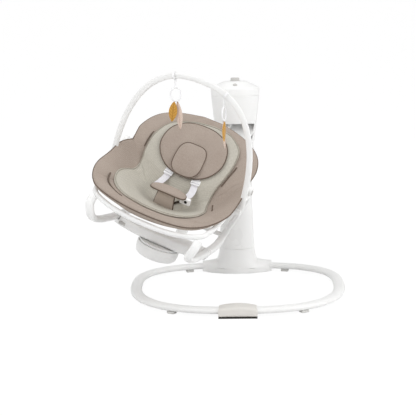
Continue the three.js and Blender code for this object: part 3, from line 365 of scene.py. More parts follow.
def carved(target, *tools, join=(), operation="DIFFERENCE"):
    """The target less its tools, with the joined pieces added, by exact booleans; the tools are removed."""
    bpy.context.view_layer.update()
    for kind, pieces in (("UNION", join), (operation, tools)):
        for tool in pieces:
            change = target.modifiers.new("cut", "BOOLEAN")
            change.operation = kind
            change.solver = "EXACT"
            change.object = tool
    bpy.context.view_layer.update()
    graph = bpy.context.evaluated_depsgraph_get()
    mesh = bpy.data.meshes.new_from_object(target.evaluated_get(graph))
    target.modifiers.clear()
    target.data = mesh
    for tool in (*join, *tools):
        bpy.data.objects.remove(tool)
    mesh.polygons.foreach_set("use_smooth", np.ones(len(mesh.polygons), bool))
    mesh.set_sharp_from_angle(angle=math.radians(38))
    return target


def settle(piece, body, slot, material, *nodes):
    """Gives a finished piece its material and the body it rides on, and hides the nodes it stands for. The
    slot is not used.
    """
    piece.data.materials.clear()
    piece.data.materials.append(material)
    if nodes:
        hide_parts(*nodes)
    if body:
        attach(piece, body)
    return piece


# ================================================================ base ring
# The floor ring is an oval tube, 38 by 20 mm, in two bent halves that plug into the housing and meet
# under the foot cover. Powder-coated steel in white with a fine orange-peel surface.
RING_WIDTH, RING_DEPTH, RING_WIDEST, RING_ROUNDNESS = 720, 623, 245, 2.6
RING_TUBE_WIDTH, RING_TUBE_HEIGHT, RING_LIFT = 38, 20, 9
HOUSING_HALF, HOUSING_DEPTH, HOUSING_HEIGHT = 126, 130, 56
SOCKET_INSERT = 22
RING_Z = RING_LIFT + RING_TUBE_HEIGHT / 2
RING_HALF = (RING_WIDTH - RING_TUBE_WIDTH) / 2
RING_LENGTH = RING_DEPTH - RING_TUBE_WIDTH
FRONT_Y = -RING_LENGTH


def coated(name, colour, roughness, peel, relief, tint=0.03):
    """A hard painted or moulded surface. Slow noise changes the tone and the gloss, and fine noise gives the
    grain of the mould or the paint."""
    material, tree = new_material(name)
    where = add_node(tree, "ShaderNodeTexCoord").outputs["Object"]
    slow = add_node(tree, "ShaderNodeTexNoise", {"Vector": where, "Scale": 9.0, "Detail": 3.0})
    fine = add_node(tree, "ShaderNodeTexNoise",
                    {"Vector": where, "Scale": peel, "Detail": 4.0, "Roughness": 0.6})
    base = linear(colour)
    dark = tuple(c * (1 - tint) for c in base[:3]) + (1,)
    tone = add_node(tree, "ShaderNodeMix", {0: slow.outputs[0], 6: dark, 7: base}, data_type="RGBA")
    gloss = add_node(tree, "ShaderNodeMapRange",
                     {0: slow.outputs[0], 1: 0.3, 2: 0.7, 3: roughness * 0.88, 4: roughness * 1.12})
    bump = add_node(tree, "ShaderNodeBump", {"Strength": 0.35, "Distance": relief, "Height": fine.outputs[0]})
    surface = add_node(tree, "ShaderNodeBsdfPrincipled", {
        "Base Color": tone.outputs[2], "Roughness": gloss.outputs[0], "Normal": bump.outputs[0],
        "Specular IOR Level": 0.45})
    add_node(tree, "ShaderNodeOutputMaterial", {"Surface": surface.outputs[0]})
    return material


# White powder coat: satin, orange peel about 1 mm across.
WHITE_COAT = coated("white_powder_coat", "f1f1f0", 0.36, 900, 0.00008)


def ring_point(side, t):
    """Centre line of half the ring, t from 0 at the back to 1 at the front: a superellipse whose front
    reach is longer than its back reach."""
    angle = np.asarray(t) * math.pi
    reach = np.where(angle < math.pi / 2, RING_WIDEST, RING_LENGTH - RING_WIDEST)
    across, along = oval(RING_HALF, reach, RING_ROUNDNESS, math.pi / 2 - angle)
    return np.stack([side * np.abs(across), along - RING_WIDEST, np.full_like(across, RING_Z)], -1)


def ring_at(x, at_front):
    """The t at which the centre line is at distance x from the middle."""
    angle = math.acos((x / RING_HALF) ** (RING_ROUNDNESS / 2))
    return 0.5 + angle / math.pi if at_front else 0.5 - angle / math.pi


for name, side in SIDES:
    t = np.linspace(ring_at(HOUSING_HALF - SOCKET_INSERT, False), ring_at(0.3, True), 900)
    path = evenly(ring_point(side, t), 170)
    rings = section_rings(path, (0, 0, 1), RING_TUBE_HEIGHT / 2, RING_TUBE_WIDTH / 2, 2.3, 40)
    piece = loft(f"ring_{name}", rings, WORLD)
    settle(piece, "base", "white_plastic", WHITE_COAT, f"base_ring_{name}")

# Four glides, each a soft block glued to the underside of the ring. Milky silicone rubber, which looks
# pale and dull beside the coated tube.
SILICONE = coated("milky_silicone_rubber", "dfdedb", 0.7, 500, 0.0001, tint=0.03)
GLIDE_LENGTH, GLIDE_WIDTH = 26, 20
for name, side in SIDES:
    for place, x, at_front in (("back", 173, False), ("front", 205, True)):
        low, high = (ring_point(side, ring_at(at, at_front)) for at in (x, x + 1))
        turn = Matrix.Rotation(math.atan2(high[1] - low[1], high[0] - low[0]), 4, "Z")
        top = RING_LIFT - 0.3
        spot = Matrix.Translation(Vector((low[0], low[1], top / 2)) * MM) @ turn
        piece = rounded_box(f"glide_pad_{place}_{name}", (GLIDE_LENGTH, GLIDE_WIDTH, top), 2, spot)
        settle(piece, "base", "warm_grey_plastic", SILICONE, f"glide_{place}_{name}")

# ================================================================ foot cover
# A snap-on cover arched over the front joint of the ring, moulded in warm light grey, with a rubber grip
# glued under it that shows as a dark line.
FOOT_WIDTH, FOOT_DEPTH, FOOT_HEIGHT, FOOT_LIP = 120, 58, 37, 3.6
# Warm grey moulded plastic: satin, with a fine grain.
WARM_GREY = coated("warm_grey_moulded_plastic", "e0ddd8", 0.44, 1100, 0.00006)
s = np.sin(np.linspace(-math.pi / 2, math.pi / 2, 41))
s = np.concatenate([[-1], s, [1]])
trim = 6 * np.maximum(0, (np.abs(s) - 0.93) / 0.07) ** 2
trim[0] = trim[-1] = 9
top = mix(FOOT_HEIGHT, FOOT_HEIGHT - 8, s * s)
rings = []
for share, cut, high in zip(s, trim, top):
    y, z = even_oval(FOOT_DEPTH / 2 - cut, (high - FOOT_LIP) / 2 - cut * 0.6, 5, 64)
    x = np.full_like(y, share * FOOT_WIDTH / 2)
    rings.append(np.stack([x, FRONT_Y + y, (high + FOOT_LIP) / 2 + z - cut * 0.25], 1))
cover = loft("foot_cover_shell", np.array(rings), WORLD, 60)
settle(cover, "base", "warm_grey_plastic", WARM_GREY, "foot_cover")

# Black rubber, matt, with a coarse moulded grain.
RUBBER = coated("black_grip_rubber", "3b3835", 0.82, 500, 0.0002, tint=0.2)
grip_top = FOOT_LIP - 0.1
grip = rounded_box("foot_grip_pad", (FOOT_WIDTH - 1, FOOT_DEPTH - 1, grip_top), 1.2,
                   Matrix.Translation((0, FRONT_Y * MM, grip_top / 2 * MM)))
settle(grip, "base", "black_rubber", RUBBER, "foot_grip")

# ================================================================ housing and tower
# The housing takes the two ends of the ring and carries the tower, two smooth shells with a parting line
# down each side. Moulded ABS in white, hollow, with a loudspeaker and a power inlet at the back.
WAIST_WIDTH, HEAD_WIDTH = 113, 171
SKIRT_TOP, SHELL_TOP, SHELL_WALL = 90, 640, 3
SOLE_THICKNESS = 2.7
WINDOW_LOW, WINDOW_HIGH, WINDOW_WIDTH, WINDOW_FRONT = 455, 543, 158, 30
PARTING = 0.35
# White moulded plastic: a satin gloss over a very fine grain.
WHITE_PLASTIC = coated("white_moulded_plastic", "f3f3f2", 0.3, 1300, 0.00004, tint=0.02)

TOWER = np.array([
    [20, WAIST_WIDTH + 74, HOUSING_DEPTH - 6],
    [40, WAIST_WIDTH + 40, HOUSING_DEPTH - 10],
    [62, WAIST_WIDTH + 22, HOUSING_DEPTH - 16],
    [SKIRT_TOP, WAIST_WIDTH + 14, HOUSING_DEPTH - 22],
    [210, WAIST_WIDTH + 5, 98],
    [330, WAIST_WIDTH, 96],
    [450, mix(WAIST_WIDTH, HEAD_WIDTH, 0.25), 112],
    [543, mix(WAIST_WIDTH, HEAD_WIDTH, 0.64), 142],
    [616, HEAD_WIDTH - 5, HEAD_WIDTH - 9],
    [SHELL_TOP, HEAD_WIDTH, HEAD_WIDTH - 4],
])


def tower_size(z):
    """Half width and half depth of the tower at a height: cubic Hermite spans through the stations, with
    the slope at a station taken from its two neighbours."""
    heights = TOWER[:, 0]
    before = np.maximum(np.arange(len(TOWER)) - 1, 0)
    after = np.minimum(np.arange(len(TOWER)) + 1, len(TOWER) - 1)
    slope = (TOWER[after, 1:] - TOWER[before, 1:]) / np.maximum(1, heights[after] - heights[before])[:, None]
    z = np.clip(np.asarray(z, float), heights[0], heights[-1])
    k = np.clip(np.searchsorted(heights, z, side="right") - 1, 0, len(TOWER) - 2)
    span = (heights[k + 1] - heights[k])[..., None]
    f = ((z - heights[k])[..., None]) / span
    value = ((2 * f ** 3 - 3 * f ** 2 + 1) * TOWER[k, 1:] + (f ** 3 - 2 * f ** 2 + f) * span * slope[k]
             + (3 * f ** 2 - 2 * f ** 3) * TOWER[k + 1, 1:] + (f ** 3 - f ** 2) * span * slope[k + 1])
    return value[..., 0] / 2, value[..., 1] / 2


def tower_tube(name, low, high, inset, levels, edge=0.0):
    """A closed oval column between two heights, its top and bottom edges rounded by edge."""
    z = np.linspace(low, high, levels + 1)
    if edge:
        near = edge * (1 - np.cos(np.linspace(0, math.pi / 2, 5)))
        between = z[(z > low + edge) & (z < high - edge)]
        z = np.unique(np.round(np.concatenate([low + near, between, high - near]), 5))
    a, b = tower_size(z)
    away = np.minimum(z - low, high - z)
    drop = edge - np.sqrt(np.maximum(0, edge ** 2 - np.maximum(0, edge - away) ** 2)) if edge else 0 * z
    x, y = even_oval(1, 1, 2.15, 120)
    rings = np.stack([(a - inset - drop)[:, None] * x, (b - inset - drop)[:, None] * y,
                      np.repeat(z[:, None], 120, 1)], -1)
    return loft(name, rings, WORLD)


def cutting_box(low, high):
    """A plain box used only to cut, between two corners in millimetres."""
    low, high = np.array(low, float), np.array(high, float)
    corners = np.array([[x, y, z] for z in (0, 1) for x, y in ((0, 0), (1, 0), (1, 1), (0, 1))], float)
    quads = [[3, 2, 1, 0], [4, 5, 6, 7], [0, 1, 5, 4], [1, 2, 6, 5], [2, 3, 7, 6], [3, 0, 4, 7]]
    return solid("tool", placed(low + corners * (high - low), WORLD), quads)


def cutting_rod(start, end, radius, frame_matrix=WORLD):
    """A plain round bar used only to cut."""
    length = (Vector(end) - Vector(start)).length
    return turned("tool", [[radius, 0], [radius, length]], along_axis(start, end, frame_matrix), 48)


SHELL_LOW = SKIRT_TOP + 0.3
for name, gap_low, gap_high in (("front", -PARTING / 2, 200), ("rear", -200, PARTING / 2)):
    shell = tower_tube(f"tower_shell_{name}", SHELL_LOW, SHELL_TOP, 0, 90, 1.0)
    tools = [tower_tube("tool", SHELL_LOW - 2, SHELL_TOP + 2, SHELL_WALL, 40)]
    tools.append(cutting_box((-200, gap_low, 0), (200, gap_high, 800)))
    if name == "front":
        x, z = even_oval(WINDOW_WIDTH / 2, (WINDOW_HIGH - WINDOW_LOW) / 2, 6, 96)
        z = z + (WINDOW_LOW + WINDOW_HIGH) / 2
        window = np.stack([np.stack([x, np.full_like(x, y), z], 1) for y in (-150, -WINDOW_FRONT)])
        tools.append(loft("tool", window, WORLD))
    settle(carved(shell, *tools), "base", "white_plastic", WHITE_PLASTIC, f"tower_{name}")

# Inside the neck window a sloping white shelf lies just behind the arm, parallel to the plane it swings in,
# so that the drive can't be seen or reached.
shelf = turned("window_shelf", [[200, 25], [200, 28]], DRIVE @ Matrix.Rotation(-math.pi / 2, 4, "X"), 64)
keep_in = tower_tube("tool", WINDOW_LOW - 30, 556, 1.2, 60)
settle(carved(shelf, keep_in, operation="INTERSECT"), "base", "white_plastic", WHITE_PLASTIC)


def housing_rings(inset, count):
    """Sections across the housing: half depth and height ease from the middle to the ends."""
    end = HOUSING_HALF - inset
    x = end * np.sin(np.linspace(-math.pi / 2, math.pi / 2, count))
    s = np.abs(x) / HOUSING_HALF
    ease = s * s * (3 - 2 * s)
    low = SOLE_THICKNESS + 0.3 - (1 if inset else 0)
    depth = mix(HOUSING_DEPTH / 2, RING_TUBE_WIDTH / 2 + 7, ease) - inset
    top = mix(HOUSING_HEIGHT, RING_LIFT + RING_TUBE_HEIGHT + 8, ease) - inset
    if not inset:
        near = np.minimum(1, (end - np.abs(x)) / 3.0)
        drop = 3.0 * (1 - np.sqrt(1 - (1 - near) ** 2))
        depth, top = depth - drop, top - drop
    angle = np.linspace(0, math.pi, 41)
    y, z = oval(1, 1, 2.6, angle)
    upper = np.stack([np.repeat(x[:, None], 41, 1), depth[:, None] * y, low + (top - low)[:, None] * z], -1)
    shares = np.linspace(-0.9, 0.9, 7)
    lower = np.stack([np.repeat(x[:, None], 7, 1), depth[:, None] * shares, np.full((count, 7), low)], -1)
    return np.concatenate([upper, lower], 1)


INLET_HEIGHT, INLET_RADIUS = 24, 6.5
housing = loft("housing_shell", housing_rings(0, 71), WORLD)
skirt = tower_tube("skirt", 20, SKIRT_TOP, 0, 40)
hollow = loft("tool", housing_rings(SHELL_WALL, 41), WORLD)
hollow_skirt = tower_tube("tool", 18, SKIRT_TOP + 2, SHELL_WALL, 30)
plugs = []
for name, side in SIDES:
    t = np.linspace(ring_at(HOUSING_HALF - SOCKET_INSERT - 10, False), ring_at(HOUSING_HALF + 60, False), 60)
    path = ring_point(side, t)
    rings = section_rings(path, (0, 0, 1), RING_TUBE_HEIGHT / 2 + 0.3, RING_TUBE_WIDTH / 2 + 0.3, 2.3, 40)
    plugs.append(loft("tool", rings, WORLD))
inlet = cutting_rod((0, 30, INLET_HEIGHT), (0, 80, INLET_HEIGHT), INLET_RADIUS + 0.3)
carved(housing, hollow, hollow_skirt, *plugs, inlet, join=[skirt])
settle(housing, "base", "white_plastic", WHITE_PLASTIC, "base_housing")

# The sole closes the housing underneath: a plain white plate that stands on the floor.
settle(NODES["base_sole"], "base", "white_plastic", WHITE_PLASTIC)

# The power inlet is a barrel socket in the back of the housing, moulded in half-matt black plastic.
BLACK_PLASTIC = coated("black_moulded_plastic", "2b2b2d", 0.5, 1000, 0.00006, tint=0.15)
settle(NODES["dc_socket"], "base", "dark_plastic", BLACK_PLASTIC)

# The loudspeaker stands in a collar of the rear shell: a dished black grille with rows of round holes
# in front of its cone.
SPEAKER_RADIUS, SPEAKER_HEIGHT = 24, 200
grille_material, tree = new_material("perforated_speaker_grille")
where = add_node(tree, "ShaderNodeTexCoord").outputs["Object"]
split = add_node(tree, "ShaderNodeSeparateXYZ", {0: where})
height = add_node(tree, "ShaderNodeMath", {0: split.outputs["Z"], 1: SPEAKER_HEIGHT * MM},
                  operation="SUBTRACT")
cells = []
for axis in (split.outputs["X"], height.outputs[0]):
    share = add_node(tree, "ShaderNodeMath", {0: axis, 1: 1 / (3.2 * MM)}, operation="MULTIPLY")
    wave = add_node(tree, "ShaderNodeMath", {0: share.outputs[0], 1: 2 * math.pi}, operation="MULTIPLY")
    cells.append(add_node(tree, "ShaderNodeMath", {0: wave.outputs[0]}, operation="COSINE").outputs[0])
hole = add_node(tree, "ShaderNodeMath", {0: cells[0], 1: cells[1]}, operation="ADD")
hole = add_node(tree, "ShaderNodeMapRange", {0: hole.outputs[0], 1: 0.9, 2: 1.1})
# The holes are only painted: near-black, painted shade for the depth behind each hole, and sunk by the bump
# below.
tone = add_node(tree, "ShaderNodeMix", {0: hole.outputs[0], 6: linear("3a3a3c"), 7: linear("050505")},
                data_type="RGBA")
sink = add_node(tree, "ShaderNodeMath", {0: 1.0, 1: hole.outputs[0]}, operation="SUBTRACT")
bump = add_node(tree, "ShaderNodeBump", {"Strength": 0.8, "Distance": 0.0008, "Height": sink.outputs[0]})
surface = add_node(tree, "ShaderNodeBsdfPrincipled",
                   {"Base Color": tone.outputs[2], "Roughness": 0.5, "Normal": bump.outputs[0]})
add_node(tree, "ShaderNodeOutputMaterial", {"Surface": surface.outputs[0]})
speaker_back = float(tower_size(SPEAKER_HEIGHT)[1]) - SHELL_WALL - 6
profile = [[SPEAKER_RADIUS, -6], [SPEAKER_RADIUS, -0.8], [SPEAKER_RADIUS - 0.8, 0],
           [SPEAKER_RADIUS - 3, 0], [SPEAKER_RADIUS - 4, -0.8], [14, -0.2], [2, 0.2]]
grille = turned("speaker_grille", [[13, -20], [13, -6]] + profile,
                along_axis((0, speaker_back, SPEAKER_HEIGHT), (0, speaker_back + 1, SPEAKER_HEIGHT)))
settle(grille, "base", "dark_plastic", grille_material, "speaker")

# ================================================================ cap, knob and button
# The cap closes the head: a low cone with a flat top and soft edges, moulded in white. A grey speed knob
# with a fluted rim stands on it, and a grey power button on its front slope.
CAP_RIM, CAP_TOP, CAP_FLAT = 667, 690, 38
KNOB_RADIUS, KNOB_HEIGHT, BUTTON_RADIUS = 16.5, 11.5, 7.5
head_a, head_b = (float(x) for x in tower_size(SHELL_TOP))
x, y = even_oval(1, 1, 2.1, 128)


def cap_rings(corners, radius, steps):
    """Rings of the cap through corners of [height, half width, half depth], the corners rounded."""
    corners = np.array(corners, float)
    a = soft_corners(corners[:, [1, 0]], radius, steps)
    b = soft_corners(corners[:, [2, 0]], radius, steps)
    return np.stack([a[:, :1] * x, b[:, :1] * y, np.repeat((a[:, 1:] + b[:, 1:]) / 2, len(x), 1)], -1)


outer = cap_rings([
    [SHELL_TOP + 0.3, head_a - 0.6, head_b - 0.6],
    [SHELL_TOP + 0.9, head_a, head_b],
    [CAP_RIM - 3, head_a + 0.5, head_b + 0.5],
    [CAP_RIM + 1, head_a - 2, head_b - 2],
    [CAP_TOP - 0.8, CAP_FLAT + 3, CAP_FLAT + 3],
    [CAP_TOP, CAP_FLAT - 4, CAP_FLAT - 4],
    [CAP_TOP, 4, 4],
], 3.5, 7)
cap = loft("head_cap_shell", outer, WORLD)
inner = loft("tool", cap_rings([
    [SHELL_TOP - 1, head_a - SHELL_WALL, head_b - SHELL_WALL],
    [CAP_RIM - 4, head_a - SHELL_WALL, head_b - SHELL_WALL],
    [CAP_TOP - 4, CAP_FLAT, CAP_FLAT],
], 2, 3), WORLD)
cone_rise, cone_run = CAP_TOP - 1.5 - (CAP_RIM + 1), head_b - 1.5 - (CAP_FLAT + 2.5)
cone_normal = Vector((0, -cone_rise, cone_run)).normalized()
button_spot = Vector((0, -(head_b - 1.5 - cone_run / 2), CAP_RIM + 1 + cone_rise / 2))
well = cutting_rod(button_spot - cone_normal * 12, button_spot + cone_normal * 8, BUTTON_RADIUS + 0.4)
stem_hole = cutting_rod((0, 0, CAP_TOP - 12), (0, 0, CAP_TOP + 5), 3.3)
settle(carved(cap, inner, well, stem_hole), "base", "white_plastic", WHITE_PLASTIC, "head_cap")

# Grey soft-touch plastic of the knob, the buttons and the latches: nearly matt, with a fine grain.
GREY_PLASTIC = coated("grey_soft_touch_plastic", "c9c7c4", 0.52, 900, 0.00008, tint=0.06)
profile = soft_corners([
    [0.5, CAP_TOP + 0.3], [KNOB_RADIUS, CAP_TOP + 0.3], [KNOB_RADIUS, CAP_TOP + 2],
    [KNOB_RADIUS - 0.8, CAP_TOP + 2.6], [KNOB_RADIUS - 1.2, CAP_TOP + KNOB_HEIGHT - 2],
    [KNOB_RADIUS - 3, CAP_TOP + KNOB_HEIGHT], [0.5, CAP_TOP + KNOB_HEIGHT - 0.6]], 0.9, 5)
angle = np.linspace(0, 2 * math.pi, 288, endpoint=False)
rim = (np.clip((profile[:, :1] - (KNOB_RADIUS - 2.4)) / 1.2, 0, 1)
       * np.clip((profile[:, 1:] - CAP_TOP - 2.4) / 1.0, 0, 1))
flute = 0.45 * rim * (0.5 - 0.5 * np.cos(36 * angle))
pointer = (0.7 * np.clip((profile[:, :1] - 6) / 3, 0, 1) * (profile[:, 1:] > CAP_TOP + 6)
           * np.exp(-((angle - 1.5 * math.pi) / 0.07) ** 2))
r = profile[:, :1] - flute
rings = np.stack([r * np.cos(angle), r * np.sin(angle), profile[:, 1:] - pointer * 0.6 + 0 * r], -1)
settle(loft("speed_knob_cap", rings, WORLD), "knob", "grey_plastic", GREY_PLASTIC, "speed_knob")

profile = soft_corners([
    [0.4, 0], [BUTTON_RADIUS, 0], [BUTTON_RADIUS, 8.3], [BUTTON_RADIUS - 2.2, 8.5], [0.4, 8.0]], 0.8, 5)
button = turned("power_button_cap", profile, along_axis(button_spot - cone_normal * 6, button_spot))
settle(button, "power", "grey_plastic", GREY_PLASTIC, "power_button")

# ================================================================ swing drive
# Inside the head: a stamped bracket, two bronze bushes, the steel shaft and lever, the crank wheel, its gear
# case and a motor can, and the control board. They keep their drawn shape and get their real finishes.
settle(NODES["pivot_frame"], "base", "warm_grey_plastic", WARM_GREY)
settle(NODES["crank_wheel"], "crank", "warm_grey_plastic", WARM_GREY)
settle(NODES["gear_case"], "base", "dark_plastic", BLACK_PLASTIC)


def metal(name, colour, roughness, scratch):
    """A bare metal: noise stretched along one axis gives the drawing marks in its gloss and its bump."""
    material, tree = new_material(name)
    where = add_node(tree, "ShaderNodeTexCoord").outputs["Object"]
    drawn = add_node(tree, "ShaderNodeMapping", {"Vector": where, "Scale": (1400.0, 60.0, 1400.0)})
    marks = add_node(tree, "ShaderNodeTexNoise", {"Vector": drawn.outputs[0], "Scale": 1.0, "Detail": 3.0})
    gloss = add_node(tree, "ShaderNodeMapRange",
                     {0: marks.outputs[0], 1: 0.3, 2: 0.7, 3: roughness * 0.8, 4: roughness * 1.3})
    bump = add_node(tree, "ShaderNodeBump",
                    {"Strength": 0.25, "Distance": scratch, "Height": marks.outputs[0]})
    surface = add_node(tree, "ShaderNodeBsdfPrincipled", {
        "Base Color": linear(colour), "Metallic": 1.0, "Roughness": gloss.outputs[0],
        "Normal": bump.outputs[0]})
    add_node(tree, "ShaderNodeOutputMaterial", {"Surface": surface.outputs[0]})
    return material


# Zinc-plated steel: satin, with drawing marks.
STEEL = metal("zinc_plated_steel", "b9bdc1", 0.32, 0.00003)
# Sintered bronze, duller than the steel.
BRONZE = metal("sintered_bronze", "a98850", 0.45, 0.00005)
for node, body in (("drive_motor", "base"), ("pivot_shaft", "arm"), ("drive_lever", "arm")):
    settle(NODES[node], body, "steel", STEEL)
for node in ("bearing_front", "bearing_rear"):
    settle(NODES[node], "base", "bronze", BRONZE)

# Green circuit board: a brick pattern gives the tracks, and small round cells its tinned pads.
board_material, tree = new_material("green_circuit_board")
where = add_node(tree, "ShaderNodeTexCoord").outputs["Object"]
tracks = add_node(tree, "ShaderNodeTexBrick", {
    "Vector": where, "Scale": 260.0, "Color1": linear("2f6b45"), "Color2": linear("2a6040"),
    "Mortar": linear("3f8456"), "Mortar Size": 0.03})
mask = add_node(tree, "ShaderNodeTexVoronoi", {"Vector": where, "Scale": 190.0})
pad = add_node(tree, "ShaderNodeMapRange", {0: mask.outputs[0], 1: 0.16, 2: 0.18, 3: 1.0, 4: 0.0})
tone = add_node(tree, "ShaderNodeMix", {0: pad.outputs[0], 6: tracks.outputs[0], 7: linear("c9ccd0")},
                data_type="RGBA")
surface = add_node(tree, "ShaderNodeBsdfPrincipled",
                   {"Base Color": tone.outputs[2], "Roughness": 0.4, "Metallic": pad.outputs[0]})
add_node(tree, "ShaderNodeOutputMaterial", {"Surface": surface.outputs[0]})
settle(NODES["control_board"], "base", "circuit_board", board_material)

# ================================================================ swing arm and turntable
# The arm is one moulded boom that leaves the neck window, drops close to the tower and turns in under the
# seat, where it ends in a round cup. The bearing plate turns on the cup's spindle.
ARM_WIDTH, ARM_THICKNESS = 38, 28
COLLAR_RADIUS, COLLAR_FRONT, COLLAR_BACK, SHAFT_RADIUS = 24, -6, 22, 8
HUB_RADIUS, HUB_LOW, HUB_HIGH, HUB_WALL, SPINDLE_RADIUS = 72, 82, 124, 4, 10
ARM_BACK, ARM_UNDER = -106, 101
drive = np.array(DRIVE)
hang = [drive[:3, :3] @ np.array([0, (COLLAR_FRONT + COLLAR_BACK) / 2, -d]) + drive[:3, 3] / MM
        for d in (12, 60, 120, 170)]
bend = [(0, ARM_BACK + 2, 400), (0, ARM_BACK, 320), (0, ARM_BACK, 200), (0, ARM_BACK - 8, 142),
        (0, ARM_BACK - 36, 110), (0, ARM_BACK - 90, ARM_UNDER),
        (0, -HUB_FORWARD + HUB_RADIUS - 18, ARM_UNDER)]
path = evenly(through([*hang, *bend], 600), 120)
arm = loft("swing_arm_boom", section_rings(path, (1, 0, 0), ARM_WIDTH / 2, ARM_THICKNESS / 2, 3, 48), SWUNG)
shaft_frame = SWUNG @ DRIVE @ Matrix.Rotation(math.pi / 2, 4, "X")
collar = turned("tool", [[COLLAR_RADIUS, -COLLAR_BACK], [COLLAR_RADIUS, -COLLAR_FRONT]], shaft_frame)
bore = turned("tool", [[SHAFT_RADIUS + 0.15, -60], [SHAFT_RADIUS + 0.15, 40]], shaft_frame)
settle(carved(arm, bore, join=[collar]), "arm", "white_plastic", WHITE_PLASTIC, "swing_arm")

hub_profile = soft_corners([
    [2, HUB_LOW], [HUB_RADIUS - 12, HUB_LOW], [HUB_RADIUS - 3, HUB_LOW + 8], [HUB_RADIUS, HUB_LOW + 22],
    [HUB_RADIUS, HUB_HIGH], [HUB_RADIUS - HUB_WALL, HUB_HIGH]], 2.5, 6).tolist()
hub_profile += [
    [HUB_RADIUS - HUB_WALL, HUB_LOW + 14], [HUB_RADIUS - 16, HUB_LOW + HUB_WALL],
    [SPINDLE_RADIUS + 6, HUB_LOW + HUB_WALL], [SPINDLE_RADIUS + 6, HUB_HIGH],
    [SPINDLE_RADIUS + 0.3, HUB_HIGH], [SPINDLE_RADIUS + 0.3, HUB_LOW + 10], [0.5, HUB_LOW + 10]]
cup = turned("turntable_cup", hub_profile, SEAT, 120)
settle(cup, "arm", "white_plastic", WHITE_PLASTIC, "turntable_base")
settle(NODES["turntable_plate"], "turntable", "warm_grey_plastic", WHITE_PLASTIC)

# ================================================================ cradle and latches
# The cradle is a shallow boat of white plastic that the rocker's rails drop into, a saddle at each end,
# with a grey release latch in a slot near each end of its front face.
CRADLE_HALF, CRADLE_DEPTH, CRADLE_TOP, CRADLE_WALL = 166, 80, 172, 4
RAIL_X, RAIL_WIDTH, RAIL_HEIGHT, RAIL_SEAT = 162, 26, 20, 157
CRADLE_LOW = HUB_HIGH + 0.3 + 6 + 0.3
SADDLE_INNER = RAIL_X - RAIL_WIDTH / 2 - 2
LATCH_X, LATCH_Z = SADDLE_INNER - 14, 151


def cradle_rings(half, inset, count, rounding=0.0):
    """Squarish sections across the cradle: the floor lifts and the depth shrinks towards the ends."""
    x = half * np.sin(np.linspace(-math.pi / 2, math.pi / 2, count))
    s = np.abs(x) / CRADLE_HALF
    near = np.minimum(1, (half - np.abs(x)) / max(rounding, 1e-6))
    drop = rounding * (1 - np.sqrt(1 - (1 - near) ** 2))
    low = CRADLE_LOW + 11 * s ** 3 + inset + drop
    top = CRADLE_TOP - inset - drop
    depth = CRADLE_DEPTH / 2 - 12 * s ** 4 - inset - drop
    y, z = even_oval(1, 1, 4.5, 72)
    height = ((top + low) / 2)[:, None] + ((top - low) / 2)[:, None] * z
    return np.stack([np.repeat(x[:, None], len(y), 1), depth[:, None] * y, height], -1)


def seat_box(low, high):
    """A cutting box in the seat's frame."""
    made = cutting_box(low, high)
    made.data.transform(SEAT)
    return made


cradle = loft("cradle_shell", cradle_rings(CRADLE_HALF, 0, 81, 3.0), SEAT)
tools = [loft("tool", cradle_rings(SADDLE_INNER - 5, CRADLE_WALL, 31), SEAT),
         seat_box((-42, -24, CRADLE_LOW - 5), (42, 24, CRADLE_LOW + 8))]
for name, side in SIDES:
    low, high = sorted((side * SADDLE_INNER, side * (CRADLE_HALF + 20)))
    tools.append(seat_box((low, -CRADLE_DEPTH, RAIL_SEAT - 0.3), (high, CRADLE_DEPTH, CRADLE_TOP + 10)))
    # The pocket runs deeper than the latch does when it is pressed.
    pocket = SEAT @ Matrix.Translation(Vector((side * LATCH_X, -CRADLE_DEPTH / 2 - 3, LATCH_Z)) * MM)
    tools.append(rounded_box("tool", (24, 60, 11), 4, pocket))
settle(carved(cradle, *tools), "turntable", "white_plastic", WHITE_PLASTIC, "seat_cradle")
for name, side in SIDES:
    spot = SEAT @ Matrix.Translation(Vector((side * LATCH_X, -CRADLE_DEPTH / 2 + 1 + 7.5, LATCH_Z)) * MM)
    latch = rounded_box(f"latch_tab_{name}", (23.2, 15, 10.2), 2.5, spot)
    settle(latch, f"latch_{name[0]}", "grey_plastic", GREY_PLASTIC, f"latch_{name}")

# ================================================================ rocker frame
# Two bent side rails form the rocker: front post, flat rail and rear leg in one tapering profile, joined at
# the back by a crossbar. A round tube runs under the rim of the pad from hinge to hinge and a flatter one
# behind the back. White coated tube, with white hinge housings and grey release buttons.
PAD_HALF_WIDTH, PAD_FRONT, PAD_THICKNESS = 212, 277, 24
FRAME_TUBE, BACK_TUBE = 8, 7
HINGE_HEIGHT, HINGE_RADIUS, HINGE_INNER, HINGE_OUTER, PADDLE_INNER = 404, 18, 216, 230, 208.5
HINGE_MIDDLE = (HINGE_INNER + HINGE_OUTER) / 2
RECLINE_HOLE = 8.3
BAR_FOOT = (-62, 345)


def seat_face(u, t):
    """Face of the lower pad, u from -1 to 1 across and t from 0 at the front to 1 at the hinge line. The
    middle runs low and flat, and the rim rises with the distance from the middle to the power 2.2."""
    w = PAD_HALF_WIDTH * mix(0.95, 1, np.sin(np.minimum(1, 2.2 * t) * math.pi / 2)) - 10 * t ** 6
    edge = np.abs(u) ** 2.2
    y = mix(-PAD_FRONT + 16 * np.abs(u) ** 6, mix(-22, -9, u * u), t)
    middle = mix(277, 250, np.minimum(1, t / 0.8)) + 16 * np.maximum(0, (t - 0.8) / 0.2) ** 2
    return np.stack([u * w, y, mix(middle, mix(307, 412, t), edge)], -1)


def back_face(u, t):
    """Face of the upper pad, t from 0 at the hinge line to 1 at the top; its width closes in like the
    square root of 1 - t cubed."""
    w = np.maximum(44, (PAD_HALF_WIDTH - 9) * np.sqrt(np.maximum(0, 1 - t ** 3)))
    edge = np.abs(u) ** 2.2
    y = mix(mix(-10, 137, np.maximum(t, 0) ** 1.25), mix(12, 137, t), edge)
    return np.stack([u * w, y, mix(mix(306, 561, t), mix(424, 563, t), edge)], -1)


